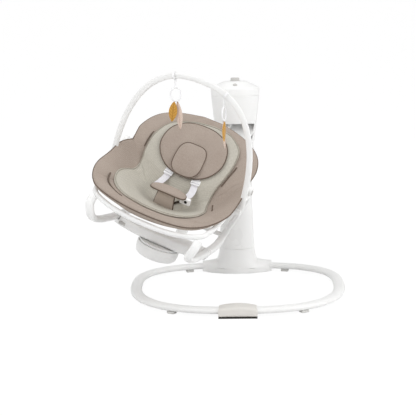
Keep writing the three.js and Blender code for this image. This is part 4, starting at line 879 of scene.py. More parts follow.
SEAT_UP, BACK_UP = np.array([0, 0.1, 0.995]), np.array([0, -0.75, 0.661])


def beneath(face, up, u, t, radius):
    """Centre of a tube close under a pad: the face, less the pad's thickness, less the radius along the
    face's normal, which is the cross product of its two slopes."""
    u, t = np.float64(u), np.float64(t)
    normal = np.cross(face(u + 0.02, t) - face(u - 0.02, t), face(u, t + 0.02) - face(u, t - 0.02))
    normal /= np.linalg.norm(normal)
    normal *= np.sign(normal @ up)
    return face(u, t) - up * PAD_THICKNESS - normal * (radius + 1)


def both_halves(half, middle=()):
    """A path made of a left half, optional middle points and the right half mirrored."""
    left = np.array(half)
    right = left[::-1] * (-1, 1, 1)
    return np.vstack([left, *middle, right])


def outward_frame(side, start, end, place=(0, HINGE_HEIGHT)):
    """The frame along X at a (y, z) place of the seat, the hinge line unless given, whose Z axis points
    outward on one side from start to end."""
    return along_axis((side * start, *place), (side * end, *place), SEAT)


half = [(-HINGE_MIDDLE - 1.5, 0, HINGE_HEIGHT), (-HINGE_MIDDLE, -18, HINGE_HEIGHT - 19)]
half += [beneath(seat_face, SEAT_UP, -u, t, FRAME_TUBE)
         for u, t in ((0.9, 0.8), (0.9, 0.6), (0.9, 0.4), (0.9, 0.2), (0.86, 0.07), (0.6, 0.04),
                      (0.25, 0.04))]
path = evenly(through(both_halves(half), 900), 200)
path = path[(np.abs(path[:, 0]) < HINGE_MIDDLE - 0.5) | (path[:, 2] < HINGE_HEIGHT - 12)]
tube = loft("seat_frame_tube", section_rings(path, (0, 0.5, 0.87), FRAME_TUBE, FRAME_TUBE, 2, 32), SEAT)
settle(tube, "rocker", "white_plastic", WHITE_COAT, "seat_frame")

half = [(-PADDLE_INNER - 1.5, 0, HINGE_HEIGHT), (-PADDLE_INNER - 1.5, 24, HINGE_HEIGHT + 12)]
half += [beneath(back_face, BACK_UP, -u, t, BACK_TUBE)
         for u, t in ((0.97, 0.32), (0.95, 0.5), (0.93, 0.68), (0.9, 0.82), (0.7, 0.915))]
path = evenly(through(both_halves(half, [beneath(back_face, BACK_UP, 0, 0.94, BACK_TUBE)[None]]), 900), 200)
back_tube = loft("back_frame_tube", section_rings(path, BACK_UP, BACK_TUBE, BACK_TUBE / 1.6, 2.2, 32), SEAT)
thick = HINGE_INNER - 0.3 - PADDLE_INNER
profile = soft_corners([[0.5, 0], [HINGE_RADIUS - 2, 0], [HINGE_RADIUS - 2, thick], [0.5, thick]], 0.8)
paddles = [turned("tool", profile, outward_frame(side, PADDLE_INNER, HINGE_INNER)) for _, side in SIDES]
settle(carved(back_tube, join=paddles), "backrest", "white_plastic", WHITE_COAT, "back_frame")

rail = [(178, -262, 258), (177, -272, 236), (168, -266, 207), (164, -243, 190),
        (RAIL_X, -180, 176.5), (RAIL_X, -100, 170), (RAIL_X, -30, RAIL_SEAT + RAIL_HEIGHT / 2),
        (RAIL_X, 30, RAIL_SEAT + RAIL_HEIGHT / 2), (RAIL_X, 85, 170), (RAIL_X + 1, 118, 178),
        (RAIL_X + 5, 130, 205), (mix(RAIL_X, HINGE_MIDDLE, 0.39), 102, 268),
        (mix(RAIL_X, HINGE_MIDDLE, 0.75), 58, 332), (HINGE_MIDDLE - 1, 22, 382),
        (HINGE_MIDDLE, 2, HINGE_HEIGHT - 2)]
for name, side in SIDES:
    fine = through(np.array(rail) * (side, 1, 1), 1400)
    path = evenly(fine, 190)
    run = path_run(fine)
    share = np.interp(np.linspace(0, 1, 190), run / run[-1], np.linspace(0, 1, 1400))
    kept = np.hypot(path[:, 1], path[:, 2] - HINGE_HEIGHT) > HINGE_RADIUS - 4
    path, share = path[kept], share[kept]
    width = RAIL_WIDTH / 2 * mix(1, 0.52, np.clip((share - 0.65) / 0.25, 0, 1))
    rings = section_rings(path, (1, 0, 0), width, RAIL_HEIGHT / 2, 3, 44)
    side_rail = loft(f"rocker_rail_{name}", rings, SEAT)
    settle(side_rail, "rocker", "white_plastic", WHITE_PLASTIC, f"rocker_side_{name}")

    deep = HINGE_OUTER - HINGE_INNER
    profile = soft_corners([[RECLINE_HOLE, deep], [HINGE_RADIUS, deep], [HINGE_RADIUS, 0], [0.5, 0]], 1.6, 6)
    profile = np.vstack([[0.5, 5], [RECLINE_HOLE, 5], profile])
    hinge = turned(f"hinge_housing_{name}", profile, outward_frame(side, HINGE_INNER, HINGE_OUTER))
    settle(hinge, "rocker", "white_plastic", WHITE_PLASTIC, f"recline_hinge_{name}")

    profile = soft_corners([[0.4, 0], [8, 0], [8, 8], [6.5, 8.2], [0.4, 7.6]], 0.7, 5)
    button = turned(f"hinge_button_{name}", profile, outward_frame(side, HINGE_INNER + 9, HINGE_OUTER))
    settle(button, f"button_{name[0]}", "grey_plastic", GREY_PLASTIC, f"recline_button_{name}")

    profile = soft_corners([[0.5, 0], [14, 0], [14, 6.5], [0.5, 6.5]], 0.8)
    socket = turned(f"bar_socket_disc_{name}", profile, outward_frame(side, 210, 216.5, BAR_FOOT))
    settle(socket, "rocker", "white_plastic", WHITE_PLASTIC, f"bar_socket_{name}")

profile = soft_corners([[0.5, 0], [FRAME_TUBE, 0], [FRAME_TUBE, 318], [0.5, 318]], 1.2)
crossbar = turned("rear_crossbar_tube", profile, along_axis((-159, 129, 206), (159, 129, 206), SEAT), 48)
settle(crossbar, "rocker", "white_plastic", WHITE_COAT, "rear_crossbar")

# ================================================================ toy bar
# The toy bar is a flat oval bow that leans forward over the seat and folds on a round foot at each side.
# Moulded in white, with a soft satin finish.
BAR_HALF_WIDTH, BAR_RISE, BAR_LEAN, BAR_ROUNDNESS = 227, 366, math.radians(17.5), 2.45
BAR_SECTION, BAR_DEPTH = 9.5, 5
BAR_UP = np.array([0, -math.sin(BAR_LEAN), math.cos(BAR_LEAN)])
BAR_NORMAL = np.cross([1, 0, 0], BAR_UP)


def bar_point(angle):
    """Centre line of the bow: a superellipse in the leaning plane, at an angle from the right foot."""
    x, h = oval(BAR_HALF_WIDTH, BAR_RISE, BAR_ROUNDNESS, np.asarray(angle, float))
    return np.stack([x, BAR_FOOT[0] + 0 * x, BAR_FOOT[1] + 0 * x], -1) + h[..., None] * BAR_UP


path = evenly(bar_point(np.linspace(0.001, math.pi - 0.001, 3000)), 260)
bow = loft("toy_bar_bow", section_rings(path, BAR_NORMAL, BAR_DEPTH, BAR_SECTION, 2.6, 40), SEAT)
feet = []
for name, side in SIDES:
    profile = soft_corners([[0.5, 0], [13, 0], [13, 14.2], [0.5, 14.2]], 1.6, 6)
    feet.append(turned("tool", profile, outward_frame(side, 216.8, 231, BAR_FOOT)))
settle(carved(bow, join=feet), "bar", "white_plastic", WHITE_PLASTIC, "toy_bar")

# ================================================================ seat pad
# One padded cover runs from the front of the seat over the recline line to the top of the back: taupe
# knitted polyester over fibre fill, cut in at the hinges, with its two halves closed by a piped rim seam.
# The fabric material and the helpers for cushions start here.


def cloth_place(tree):
    """The place across and along the cloth that a soft piece keeps at its points."""
    held = add_node(tree, "ShaderNodeAttribute", attribute_name="weave", attribute_type="GEOMETRY")
    return held.outputs["Vector"]


def knit(name, colour, dark, light, stitch, relief, fuzz=0.25, use_weave=True):
    """Melange knit. Two crossed waves, two to three stitches long, give the loops. Stretched noise mixes a
    darker yarn into the colour, and slow noise fades it a little to a lighter one, as handled cloth is."""
    material, tree = new_material(name)
    if use_weave:
        where = cloth_place(tree)
    else:
        where = add_node(tree, "ShaderNodeTexCoord").outputs["Object"]
    scale = 1 / (stitch * MM)
    rib = add_node(tree, "ShaderNodeTexWave", {
        "Vector": where, "Scale": scale * 0.16, "Distortion": 1.2, "Detail Scale": 2.0}, bands_direction="X")
    course = add_node(tree, "ShaderNodeTexWave", {
        "Vector": where, "Scale": scale * 0.12, "Distortion": 1.6, "Detail Scale": 2.0}, bands_direction="Y")
    loops = add_node(tree, "ShaderNodeMath", {0: rib.outputs["Fac"], 1: course.outputs["Fac"]},
                     operation="MULTIPLY")
    lay = add_node(tree, "ShaderNodeMapping",
                   {"Vector": where, "Scale": (scale * 0.9, scale * 0.22, scale * 0.9)})
    yarn = add_node(tree, "ShaderNodeTexNoise",
                    {"Vector": lay.outputs[0], "Scale": 1.0, "Detail": 4.0, "Roughness": 0.7})
    fleck = add_node(tree, "ShaderNodeMapRange", {0: yarn.outputs[0], 1: 0.35, 2: 0.65})
    slow = add_node(tree, "ShaderNodeTexNoise", {"Vector": where, "Scale": 14.0, "Detail": 2.0})
    fade = add_node(tree, "ShaderNodeMapRange", {0: slow.outputs[0], 1: 0.3, 2: 0.7, 3: 0.0, 4: 0.22})
    two = add_node(tree, "ShaderNodeMix", {0: fleck.outputs[0], 6: linear(dark), 7: linear(colour)},
                   data_type="RGBA")
    three = add_node(tree, "ShaderNodeMix", {0: fade.outputs[0], 6: two.outputs[2], 7: linear(light)},
                     data_type="RGBA")
    # Painted shade: the colour is darkened by up to 14% in the pits between the loops.
    pit_shade = add_node(tree, "ShaderNodeMapRange", {0: loops.outputs[0], 1: 0.0, 2: 0.5, 3: 0.86, 4: 1.0})
    shade = add_node(tree, "ShaderNodeMix", {0: 1.0, 6: three.outputs[2], 7: pit_shade.outputs[0]},
                     data_type="RGBA", blend_type="MULTIPLY")
    bump = add_node(tree, "ShaderNodeBump", {"Strength": 0.5, "Distance": relief, "Height": loops.outputs[0]})
    surface = add_node(tree, "ShaderNodeBsdfPrincipled", {
        "Base Color": shade.outputs[2], "Roughness": 0.92, "Normal": bump.outputs[0],
        "Specular IOR Level": 0.2, "Sheen Weight": fuzz, "Sheen Roughness": 0.5, "Sheen Tint": linear(light)})
    add_node(tree, "ShaderNodeOutputMaterial", {"Surface": surface.outputs[0]})
    return material


# Taupe knit of the pad, stitches 1.6 mm apart.
TAUPE = knit("taupe_melange_knit", "b2a499", "a19388", "c4b8ae", 1.6, 0.0003)
# Near-black brown, painted shade: a strip of it stands for the shadowed opening of the crotch slot.
SLOT_SHADE = knit("painted_slot_shadow", "3d342d", "332b25", "463c34", 1.0, 0.0002, 0.05, use_weave=False)
# Dark brown grosgrain that binds the seams and the edges; the same brown also draws the painted shade along
# the liner's edges.
BINDING_AND_GAP_SHADE = knit("brown_binding_and_gap_shade", "75675c", "64574d", "85776b", 1.0, 0.0002, 0.1, use_weave=False)

# Millimetres of cloth to one unit of s, the pressure and number of frames of the cushions' simulation, the
# share of its movement that the sewn rim loses, and the number of steps along a length of piping.
SEAT_LENGTH = 300
CLOTH_PRESSURE, CLOTH_FRAMES, RIM_HOLD = 4.0, 20, 0.85
PIPING_STEPS = 60


def bowl(u, s):
    """The seat's one face and its build-up direction: the lower pad's face up to s 0.84, the upper pad's
    from s 1.14, where s is 1 at the recline line, and a smoothstep mix of the two between."""
    u, s = np.asarray(u, float), np.asarray(s, float)
    k = np.clip((s - 0.84) / 0.3, 0, 1)
    k = (k * k * (3 - 2 * k))[..., None]
    points = seat_face(u, np.minimum(s, 1.14)) * (1 - k) + back_face(u, s - 1) * k
    up = SEAT_UP * (1 - k) + BACK_UP * k
    return points, up / np.linalg.norm(up, axis=-1, keepdims=True)


def lifted(u, s, height, true=False):
    """Points at a height over the bowl: along the normal, the cross product of its slopes. Unless true, the
    height shrinks with the cosine between the normal and the build-up direction, as the pads do."""
    points, up = bowl(u, s)
    step = 0.004
    across = bowl(np.asarray(u) + step, s)[0] - bowl(np.asarray(u) - step, s)[0]
    ahead, behind = np.minimum(np.asarray(s) + step, 1.999), np.minimum(np.asarray(s), 1.995) - step
    along = bowl(u, ahead)[0] - bowl(u, behind)[0]
    normal = np.cross(across, along)
    normal /= np.maximum(1e-9, np.linalg.norm(normal, axis=-1, keepdims=True))
    cosine = (normal * up).sum(-1, keepdims=True)
    normal = normal * np.sign(cosine)
    share = 1.0 if true else np.maximum(0.5, np.abs(cosine))
    return points + normal * np.asarray(height, float)[..., None] * share


def rim_of(u, s, count, height):
    """Evenly spaced points of a closed outline at a height, given by its fine u and s values."""
    run = path_run(lifted(u, s, np.full_like(u, height)))
    at = np.linspace(0, run[-1], count + 1)[:-1]
    return np.interp(at, run, u), np.interp(at, run, s)


def egg(centre, half_u, half_s, power):
    """Fine outline on the bowl: a superellipse about a centre."""
    u, s = oval(half_u, half_s, power, np.linspace(0, 2 * math.pi, OVAL_STEPS))
    return u + centre[0], s + centre[1]


def crowned(reach, thickness, power, rows):
    """Half section of a cushion, from its middle on top round the rim to its middle below: shares of the way
    out and heights on a superellipse, with rows points spaced evenly along it."""
    fine = np.linspace(math.pi / 2, -math.pi / 2, OVAL_STEPS)
    r, h = oval(1, thickness, power, fine)
    run = flat_run(r * reach, h)
    return oval(1, thickness, power, np.interp(np.linspace(0, run[-1], rows + 2)[1:-1], run, fine))


def cushion(name, points, weave, frame_matrix):
    """A closed cushion from a grid of points, which remembers its rows and spokes."""
    made = loft(name, points, frame_matrix, 60, weave=weave.reshape(-1, 3))
    made["rows"], made["spokes"] = points.shape[:2]
    return made


def pillow(name, outline, centre, middle, thickness, rows, spokes, power, dish=0.0, wing=0.0, roll=0.0):
    """A closed cushion on the bowl, its mid-surface at height middle, crowned to thickness on either side.
    Dish presses its middle down by that many millimetres, wing pulls the sides in front of the hinges up,
    and roll fattens the front by that share, upward only. Also gives the points' shares of the way out."""
    u, s = rim_of(*outline, spokes, middle)
    reach = np.linalg.norm(bowl(u, s)[0] - bowl(*map(np.float64, centre))[0], axis=-1).mean()
    r, h = crowned(reach, thickness, power, rows)
    uu = centre[0] + r[:, None] * (u - centre[0])
    ss = centre[1] + r[:, None] * (s - centre[1])
    sink = dish * np.clip(1 - r, 0, 1) ** 1.5
    fat = roll * np.exp(-(ss / 0.17) ** 2)
    points = lifted(uu, ss, middle + h[:, None] * (1 + fat) + thickness * fat - sink[:, None])
    points[..., 2] += (wing * np.exp(-((ss - 0.86) / 0.2) ** 2)
                       * np.clip((np.abs(uu) - 0.72) / 0.28, 0, 1) ** 1.5)
    weave = np.stack([uu * PAD_HALF_WIDTH, ss * SEAT_LENGTH, 0 * uu], -1) * MM
    return cushion(name, points, weave, SEAT), np.repeat(r, spokes)


def inflated(piece, share, cap, held):
    """Blows a cushion up with a cloth simulation: pressure inside, no gravity, and the middle held. No point
    may end further from where it began than cap, in millimetres, and the sewn rim moves least."""
    mesh = piece.data
    start = np.zeros(len(mesh.vertices) * 3, np.float32)
    mesh.vertices.foreach_get("co", start)
    group = piece.vertex_groups.new(name="held")
    group.add(np.nonzero(share < held)[0].tolist(), 1.0, "REPLACE")
    cloth = piece.modifiers.new("cloth", "CLOTH")
    cloth.settings.quality = 4
    cloth.settings.mass = 0.3
    cloth.settings.use_pressure = True
    cloth.settings.uniform_pressure_force = CLOTH_PRESSURE
    cloth.settings.effector_weights.gravity = 0
    cloth.settings.vertex_group_mass = "held"
    cloth.collision_settings.use_collision = False
    cloth.point_cache.frame_start = 1
    cloth.point_cache.frame_end = CLOTH_FRAMES
    for number in range(1, CLOTH_FRAMES + 1):
        bpy.context.scene.frame_set(number)
    graph = bpy.context.evaluated_depsgraph_get()
    blown = piece.evaluated_get(graph).to_mesh()
    end = np.zeros(len(mesh.vertices) * 3, np.float32)
    blown.vertices.foreach_get("co", end)
    piece.evaluated_get(graph).to_mesh_clear()
    piece.modifiers.clear()
    piece.vertex_groups.clear()
    move = (end - start).reshape(-1, 3)
    length = np.linalg.norm(move, axis=1, keepdims=True)
    limit = cap * MM * (1 - RIM_HOLD * share[:, None] ** 8)
    move *= np.minimum(1, limit / np.maximum(length, 1e-9))
    mesh.vertices.foreach_set("co", (start.reshape(-1, 3) + move).ravel())
    mesh.update()
    bpy.context.scene.frame_set(1)


def halved(grid, wrap):
    """Doubles the rows of a grid: a new row lies at (9 (b + c) - (a + d)) / 16 of its four neighbours."""
    if wrap:
        a, b, c, d = np.roll(grid, 1, 0), grid, np.roll(grid, -1, 0), np.roll(grid, -2, 0)
        return np.stack([grid, (9 * (b + c) - a - d) / 16], 1).reshape(-1, *grid.shape[1:])
    longer = np.concatenate([2 * grid[:1] - grid[1:2], grid, 2 * grid[-1:] - grid[-2:-1]])
    a, b, c, d = longer[:-3], longer[1:-2], longer[2:-1], longer[3:]
    between = np.stack([b, (9 * (b + c) - a - d) / 16], 1).reshape(-1, *grid.shape[1:])
    return np.concatenate([between, grid[-1:]])


def refined(piece):
    """One subdivision of a cushion's grid, along and across, with its place on the cloth."""
    rows, spokes = piece["rows"], piece["spokes"]
    mesh = piece.data
    grids = []
    for data, key in ((mesh.vertices, "co"), (mesh.attributes["weave"].data, "vector")):
        values = np.zeros(len(mesh.vertices) * 3, np.float32)
        data.foreach_get(key, values)
        grid = halved(values.reshape(rows, spokes, 3).astype(float), False)
        grids.append(halved(grid.swapaxes(0, 1), True).swapaxes(0, 1))
    name = piece.name
    bpy.data.objects.remove(piece)
    bpy.data.meshes.remove(mesh)
    return cushion(name, grids[0] / MM, grids[1], WORLD)


def edge_bead(name, piece, radius, shift=0):
    """A round bead sewn round a cushion's widest row, or shift rows above it. The row is smoothed: each point
    moves by a quarter of the sum of its two neighbours less twice itself."""
    rows, spokes = piece["rows"], piece["spokes"]
    place = np.zeros(rows * spokes * 3, np.float32)
    piece.data.vertices.foreach_get("co", place)
    grid = place.reshape(rows, spokes, 3).astype(float) / MM
    middle = rows // 2 - shift
    path = grid[middle]
    path = path + 0.25 * (np.roll(path, 1, 0) + np.roll(path, -1, 0) - 2 * path)
    upward = grid[middle - 3] - grid[middle + 3]
    rings = section_rings(path, upward, radius, radius, 2, 10, closed=True)
    return loft(name, rings, WORLD, 80, closed=True)


def creased(piece, height):
    """Moves each point along its normal by height(across, along) in millimetres, which are its place on
    the cloth in metres."""
    mesh = piece.data
    count = len(mesh.vertices)
    place, normal, cloth = (np.zeros(count * 3, np.float32) for _ in range(3))
    mesh.vertices.foreach_get("co", place)
    mesh.vertices.foreach_get("normal", normal)
    mesh.attributes["weave"].data.foreach_get("vector", cloth)
    cloth = cloth.reshape(-1, 3)
    move = height(cloth[:, 0] / MM, cloth[:, 1] / MM)
    place = place.reshape(-1, 3) + normal.reshape(-1, 3) * move[:, None] * MM
    mesh.vertices.foreach_set("co", place.ravel())
    mesh.update()


def ripple(x, y, seeds):
    """Soft irregular folds between -1 and 1: the mean of a few plane waves of different lengths."""
    waves = [np.sin(x / a + y / b + c) for a, b, c in seeds]
    return sum(waves) / len(waves)


def across_recline(piece, slot, material, *nodes):
    """Finishes a soft piece that bends over the recline line."""
    settle(piece, None, slot, material, *nodes)
    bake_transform(piece)
    return piece


def piping(name, route, height, radius, flat=0.6):
    """A folded tape laid at a height along a route of (u, s) points on the bowl, flattened by flat and
    rounded off at both ends."""
    u, s = through(route, PIPING_STEPS).T
    path = evenly(lifted(u, s, np.full_like(u, height)), PIPING_STEPS)
    _, up = bowl(u, s)
    rings = section_rings(path, up, radius * flat, radius, 2, 10, ends=radius * flat * 0.9)
    return loft(name, rings, SEAT, 80)


def pad_edge():
    """Outline of the pad: a superellipse of power 8, nearly square, whose front right corner is worn round by
    a lower power. Its front left lobe hangs further out, and the hinges draw it in by 3.5%."""
    angle = np.linspace(0, 2 * math.pi, OVAL_STEPS)
    c, d = np.cos(angle), np.sin(angle)
    worn = np.clip(2 * np.clip(c, 0, 1) * np.clip(-d, 0, 1), 0, 1)
    bend = 2 / (8 - 4.6 * worn)
    u = 1.03 * np.sign(c) * np.abs(c) ** bend
    reach = 1 + 0.045 * np.clip(-d, 0, 1) * np.clip(0.3 - c, 0, 1)
    s = 1 + np.sign(d) * np.abs(d) ** bend * np.where(d < 0, reach, 0.995)
    u = u * (1 - 0.035 * np.exp(-((s - 1.0) / 0.07) ** 2))
    return u + 0.075 * np.minimum(0, u) * np.abs(u) * np.exp(-((s - 0.05) / 0.4) ** 2), s


pad, share = pillow("seat_pad", pad_edge(), (0, 1.0), -12.5, 11.0, 84, 216, 4.0, wing=13.0, roll=0.65)
inflated(pad, share, 7.0, 0.45)
pad = refined(pad)
creased(pad, lambda x, y: 1.1 * ripple(x, y, ((19, 31, 0.4), (-27, 22, 1.7), (43, -35, 2.9), (12, 57, 4.0)))
        * np.clip((np.abs(x) - 120) / 60, 0, 1)
        - 2.2 * np.exp(-((y - SEAT_LENGTH) / 7) ** 2) * np.clip((np.abs(x) - 150) / 40, 0, 1))
across_recline(pad, "taupe_fabric", TAUPE, "seat_pad_lower", "seat_pad_upper")

across_recline(edge_bead("seat_pad_rim_seam", pad, 1.9), "taupe_fabric", BINDING_AND_GAP_SHADE)

# ================================================================ liner
# A thinner insert of pale grey-green mesh fabric lies in the pad, wide at the hips and round at the top.
# It is padded and edged with a folded seam. Dark brown strips along its edges, two at each side, are painted
# shade for the gap between it and the pad. The holes of the mesh lie 2.2 mm apart.
STONE = knit("stone_spacer_mesh", "cbc6bb", "bab5a9", "d6d4ca", 2.2, 0.0004, 0.15)
LINER_SHAPE = ((0, 0.34), (-0.29, 0.27), (-0.53, 0.215), (-0.735, 0.3), (-0.835, 0.5), (-0.81, 0.75),
               (-0.765, 0.92), (-0.785, 1.12), (-0.79, 1.45), (-0.73, 1.7), (-0.5, 1.84), (0, 1.9),
               (0.42, 1.89), (0.66, 1.84), (0.76, 1.68), (0.73, 1.48), (0.66, 1.26), (0.59, 1.08),
               (0.59, 0.96), (0.625, 0.82), (0.645, 0.69), (0.61, 0.54), (0.47, 0.43), (0.25, 0.37),
               (0, 0.34))
outline = through(LINER_SHAPE, OVAL_STEPS).T
liner, share = pillow("seat_liner", outline, (-0.03, 1.03), 9.5, 5.5, 76, 200, 3.6, dish=1.0)
inflated(liner, share, 4.0, 0.3)
liner = refined(liner)
creased(liner, lambda x, y: 0.8 * ripple(x, y, ((16, 23, 0.4), (-21, 19, 2.1), (37, -29, 0.9)))
        * np.clip((np.abs(x) - 60) / 60, 0, 1))
across_recline(liner, "stone_fabric", STONE, "seat_liner_lower", "seat_liner_upper")
# Darker tape folded over the liner's edge.
STONE_EDGE = knit("stone_edge_tape", "aca598", "9a9487", "beb8ab", 1.0, 0.0002, 0.1, use_weave=False)
across_recline(edge_bead("seat_liner_edge", liner, 1.5, shift=2), "stone_fabric", STONE_EDGE)

# Dark brown strips along the liner's edges, two at each side, are painted shade for the gap between the liner
# and the pad.
for name, body, half, height, route in (
        ("front_left", "rocker", 2.8, 9.5, ((-0.86, 0.36), (-0.79, 0.2), (-0.64, 0.125), (-0.47, 0.1))),
        ("front_right", "rocker", 2.8, 8.0, ((0.66, 0.93), (0.7, 0.82), (0.725, 0.7))),
        ("back_left", "backrest", 1.6, 6.0, ((-0.82, 1.42), (-0.82, 1.28), (-0.81, 1.14))),
        ("back_right", "backrest", 2.0, 6.0, ((0.76, 1.42), (0.695, 1.28), (0.64, 1.14)))):
    settle(piping(f"liner_gap_shadow_{name}", route, height, half), body, "taupe_fabric", BINDING_AND_GAP_SHADE)

# ================================================================ head support
# A round padded insert in the taupe knit with a dark bound edge, and a smaller pillow sewn on it that is
# piped all round in dark brown.
middle = (-0.03, 1.52)
head, share = pillow("head_insert", egg(middle, 0.6, 0.312, 2.7), middle, 24.0, 9.0, 52, 150, 3.4, dish=3.0)
inflated(head, share, 5.0, 0.2)
head = refined(head)
settle(head, "backrest", "taupe_fabric", TAUPE, "head_support")
settle(edge_bead("head_insert_binding", head, 1.9, shift=1), "backrest", "taupe_fabric", BINDING_AND_GAP_SHADE)

middle = (-0.01, 1.395)
inner, share = pillow("head_pillow", egg(middle, 0.27, 0.198, 3.2), middle, 32.0, 8.0, 40, 110, 2.8)
inflated(inner, share, 4.0, 0.2)
inner = refined(inner)
settle(inner, "backrest", "taupe_fabric", TAUPE)
settle(edge_bead("head_pillow_piping", inner, 1.6, shift=3), "backrest", "taupe_fabric", BINDING_AND_GAP_SHADE)

# ================================================================ harness
# Two white webbing straps come from under the head insert, each through a glossy slide adjuster, down to the
# ends of a small belly pad. The belly pad stands on a wide crotch strap of the taupe knit and has a white
# buckle with a black press button. The webbing is a woven polyester tape 23 mm wide.
STRAP_HALF, STRAP_THICKNESS, STRAP_U = 11.5, 1.1, 0.235

# White polyester webbing: ribs along it, weft picks across it, and a plain selvedge at both edges.
WEBBING, tree = new_material("white_woven_webbing")
where = cloth_place(tree)
rib = add_node(tree, "ShaderNodeTexWave", {
    "Vector": where, "Scale": 190.0, "Distortion": 0.3, "Detail Scale": 3.0}, bands_direction="X")
pick = add_node(tree, "ShaderNodeTexWave", {
    "Vector": where, "Scale": 120.0, "Distortion": 0.4, "Detail Scale": 3.0}, bands_direction="Y")
cloth = add_node(tree, "ShaderNodeMath", {0: rib.outputs["Fac"], 1: pick.outputs["Fac"]}, operation="ADD")
split = add_node(tree, "ShaderNodeSeparateXYZ", {0: where})
wide = add_node(tree, "ShaderNodeMath", {0: split.outputs["X"]}, operation="ABSOLUTE")
edge = add_node(tree, "ShaderNodeMapRange",
                {0: wide.outputs[0], 1: (STRAP_HALF - 2.2) * MM, 2: (STRAP_HALF - 1.4) * MM})
# Painted shade: the weave is coloured darker where it lies low, in the hollows between the ribs and picks.
tone = add_node(tree, "ShaderNodeMapRange", {0: cloth.outputs[0], 1: 0.0, 2: 2.0, 3: 0.0, 4: 1.0})
body = add_node(tree, "ShaderNodeMix", {0: tone.outputs[0], 6: linear("dcdadf"), 7: linear("f0eff3")},
                data_type="RGBA")
seam = add_node(tree, "ShaderNodeMix", {0: edge.outputs[0], 6: body.outputs[2], 7: linear("e3e1e6")},
                data_type="RGBA")
bump = add_node(tree, "ShaderNodeBump", {"Strength": 0.6, "Distance": 0.0003, "Height": cloth.outputs[0]})
surface = add_node(tree, "ShaderNodeBsdfPrincipled", {
    "Base Color": seam.outputs[2], "Roughness": 0.75, "Normal": bump.outputs[0], "Specular IOR Level": 0.3,
    "Sheen Weight": 0.15})
add_node(tree, "ShaderNodeOutputMaterial", {"Surface": surface.outputs[0]})
# Glossy white acetal of the slide adjusters, the buckle and the toy rings.
GLOSS_WHITE = coated("glossy_white_acetal", "f4f4f5", 0.2, 1500, 0.00002, tint=0.02)
# Glossy black plastic of the press button.
GLOSS_BLACK = coated("glossy_black_button", "1d1c1d", 0.25, 1500, 0.00002, tint=0.1)


def strap(name, path, ups):
    """A flat tape along a path, its face turned to the given directions, with rounded edges and the place
    on the cloth kept as across and along."""
    count, around = 150, 28
    run = path_run(path)
    along = np.linspace(0, run[-1], count)
    path = np.stack([np.interp(along, run, path[:, k]) for k in range(3)], 1)
    ups = np.stack([np.interp(along, run, ups[:, k]) for k in range(3)], 1)
    rings = section_rings(path, ups, STRAP_THICKNESS, STRAP_HALF, 6, around)
    x = even_oval(1, 1, 6, around)[1] * STRAP_HALF
    weave = np.stack(np.broadcast_arrays(x[None], along[:, None], 0.0), -1) * MM
    return loft(name, rings, SEAT, 60, weave=weave.reshape(-1, 3))


BELLY = np.array([0, -113, 333])
BELLY_TILT = math.radians(24)
BELLY_FRAME = SEAT @ Matrix.Translation(Vector(BELLY) * MM) @ Matrix.Rotation(BELLY_TILT, 4, "X")
for name, side in SIDES:
    s = np.linspace(1.30, 1.13, 40)
    u = side * (STRAP_U + 0.013 * (1.30 - s) / 0.17)
    on_back = lifted(u, s, 17.5 + 0 * u, true=True)
    points, up = bowl(u, s)
    hung = [(side * 54, -36, 336), (side * 55, -76, 327), (side * 52, -106, 329)]
    free = through([on_back[-2], on_back[-1], *hung], 60)[16:]
    turned_by = np.linspace(0.05, 1, len(free))[:, None]
    ups = np.vstack([up, up[-1] + (np.array([0, -0.25, 0.97]) - up[-1]) * turned_by])
    tape = strap(f"harness_tape_{name}", np.vstack([on_back, free]), ups)
    across_recline(tape, "white_webbing", WEBBING, f"harness_strap_{name}")

    spot = lifted(np.float64(side * (STRAP_U + 0.006)), np.float64(1.19), np.float64(18.5), true=True)
    along = lifted(np.float64(side * (STRAP_U + 0.012)), np.float64(1.13), np.float64(18.5), true=True) - spot
    _, up = bowl(np.float64(side * STRAP_U), np.float64(1.2))
    z = Vector(up)
    y = (Vector(along) - Vector(along).dot(z) * z).normalized()
    x = y.cross(z)
    turn = Matrix((x, y, z)).transposed().to_4x4()
    place = SEAT @ Matrix.Translation(Vector(spot) * MM) @ turn
    body = rounded_box("tool", (31, 24, 4.6), 2.0, place)
    slots = [rounded_box("tool", (24.5, 4.2, 12), 1.2, place @ Matrix.Translation((0, d * MM, 0)))
             for d in (-5.2, 5.2)]
    slider = carved(body, *slots)
    slider.name = f"slide_adjuster_{name}"
    settle(slider, "backrest", "white_gloss", GLOSS_WHITE)


def flat_pillow(name, half_x, half_y, thickness, curl, frame_matrix):
    """A cushion in a plane: superellipse outline, crowned section, curled down at both ends by curl."""
    x, y = even_oval(half_x, half_y, 2.8, 120)
    r, h = crowned(half_y, thickness, 2.6, 40)
    xx, yy = r[:, None] * x, r[:, None] * y
    zz = h[:, None] - curl * (xx / half_x) ** 2
    weave = np.stack([xx, yy, 0 * xx], -1) * MM
    return cushion(name, np.stack([xx, yy, zz], -1), weave, frame_matrix), np.repeat(r, len(x))


belly, share = flat_pillow("belly_pad", 60, 20, 7.5, 5.0, BELLY_FRAME)
inflated(belly, share, 3.0, 0.2)
belly = refined(belly)
settle(belly, "rocker", "taupe_fabric", TAUPE, "crotch_pad")
settle(edge_bead("belly_pad_binding", belly, 2.3, shift=-1), "rocker", "taupe_fabric", BINDING_AND_GAP_SHADE)

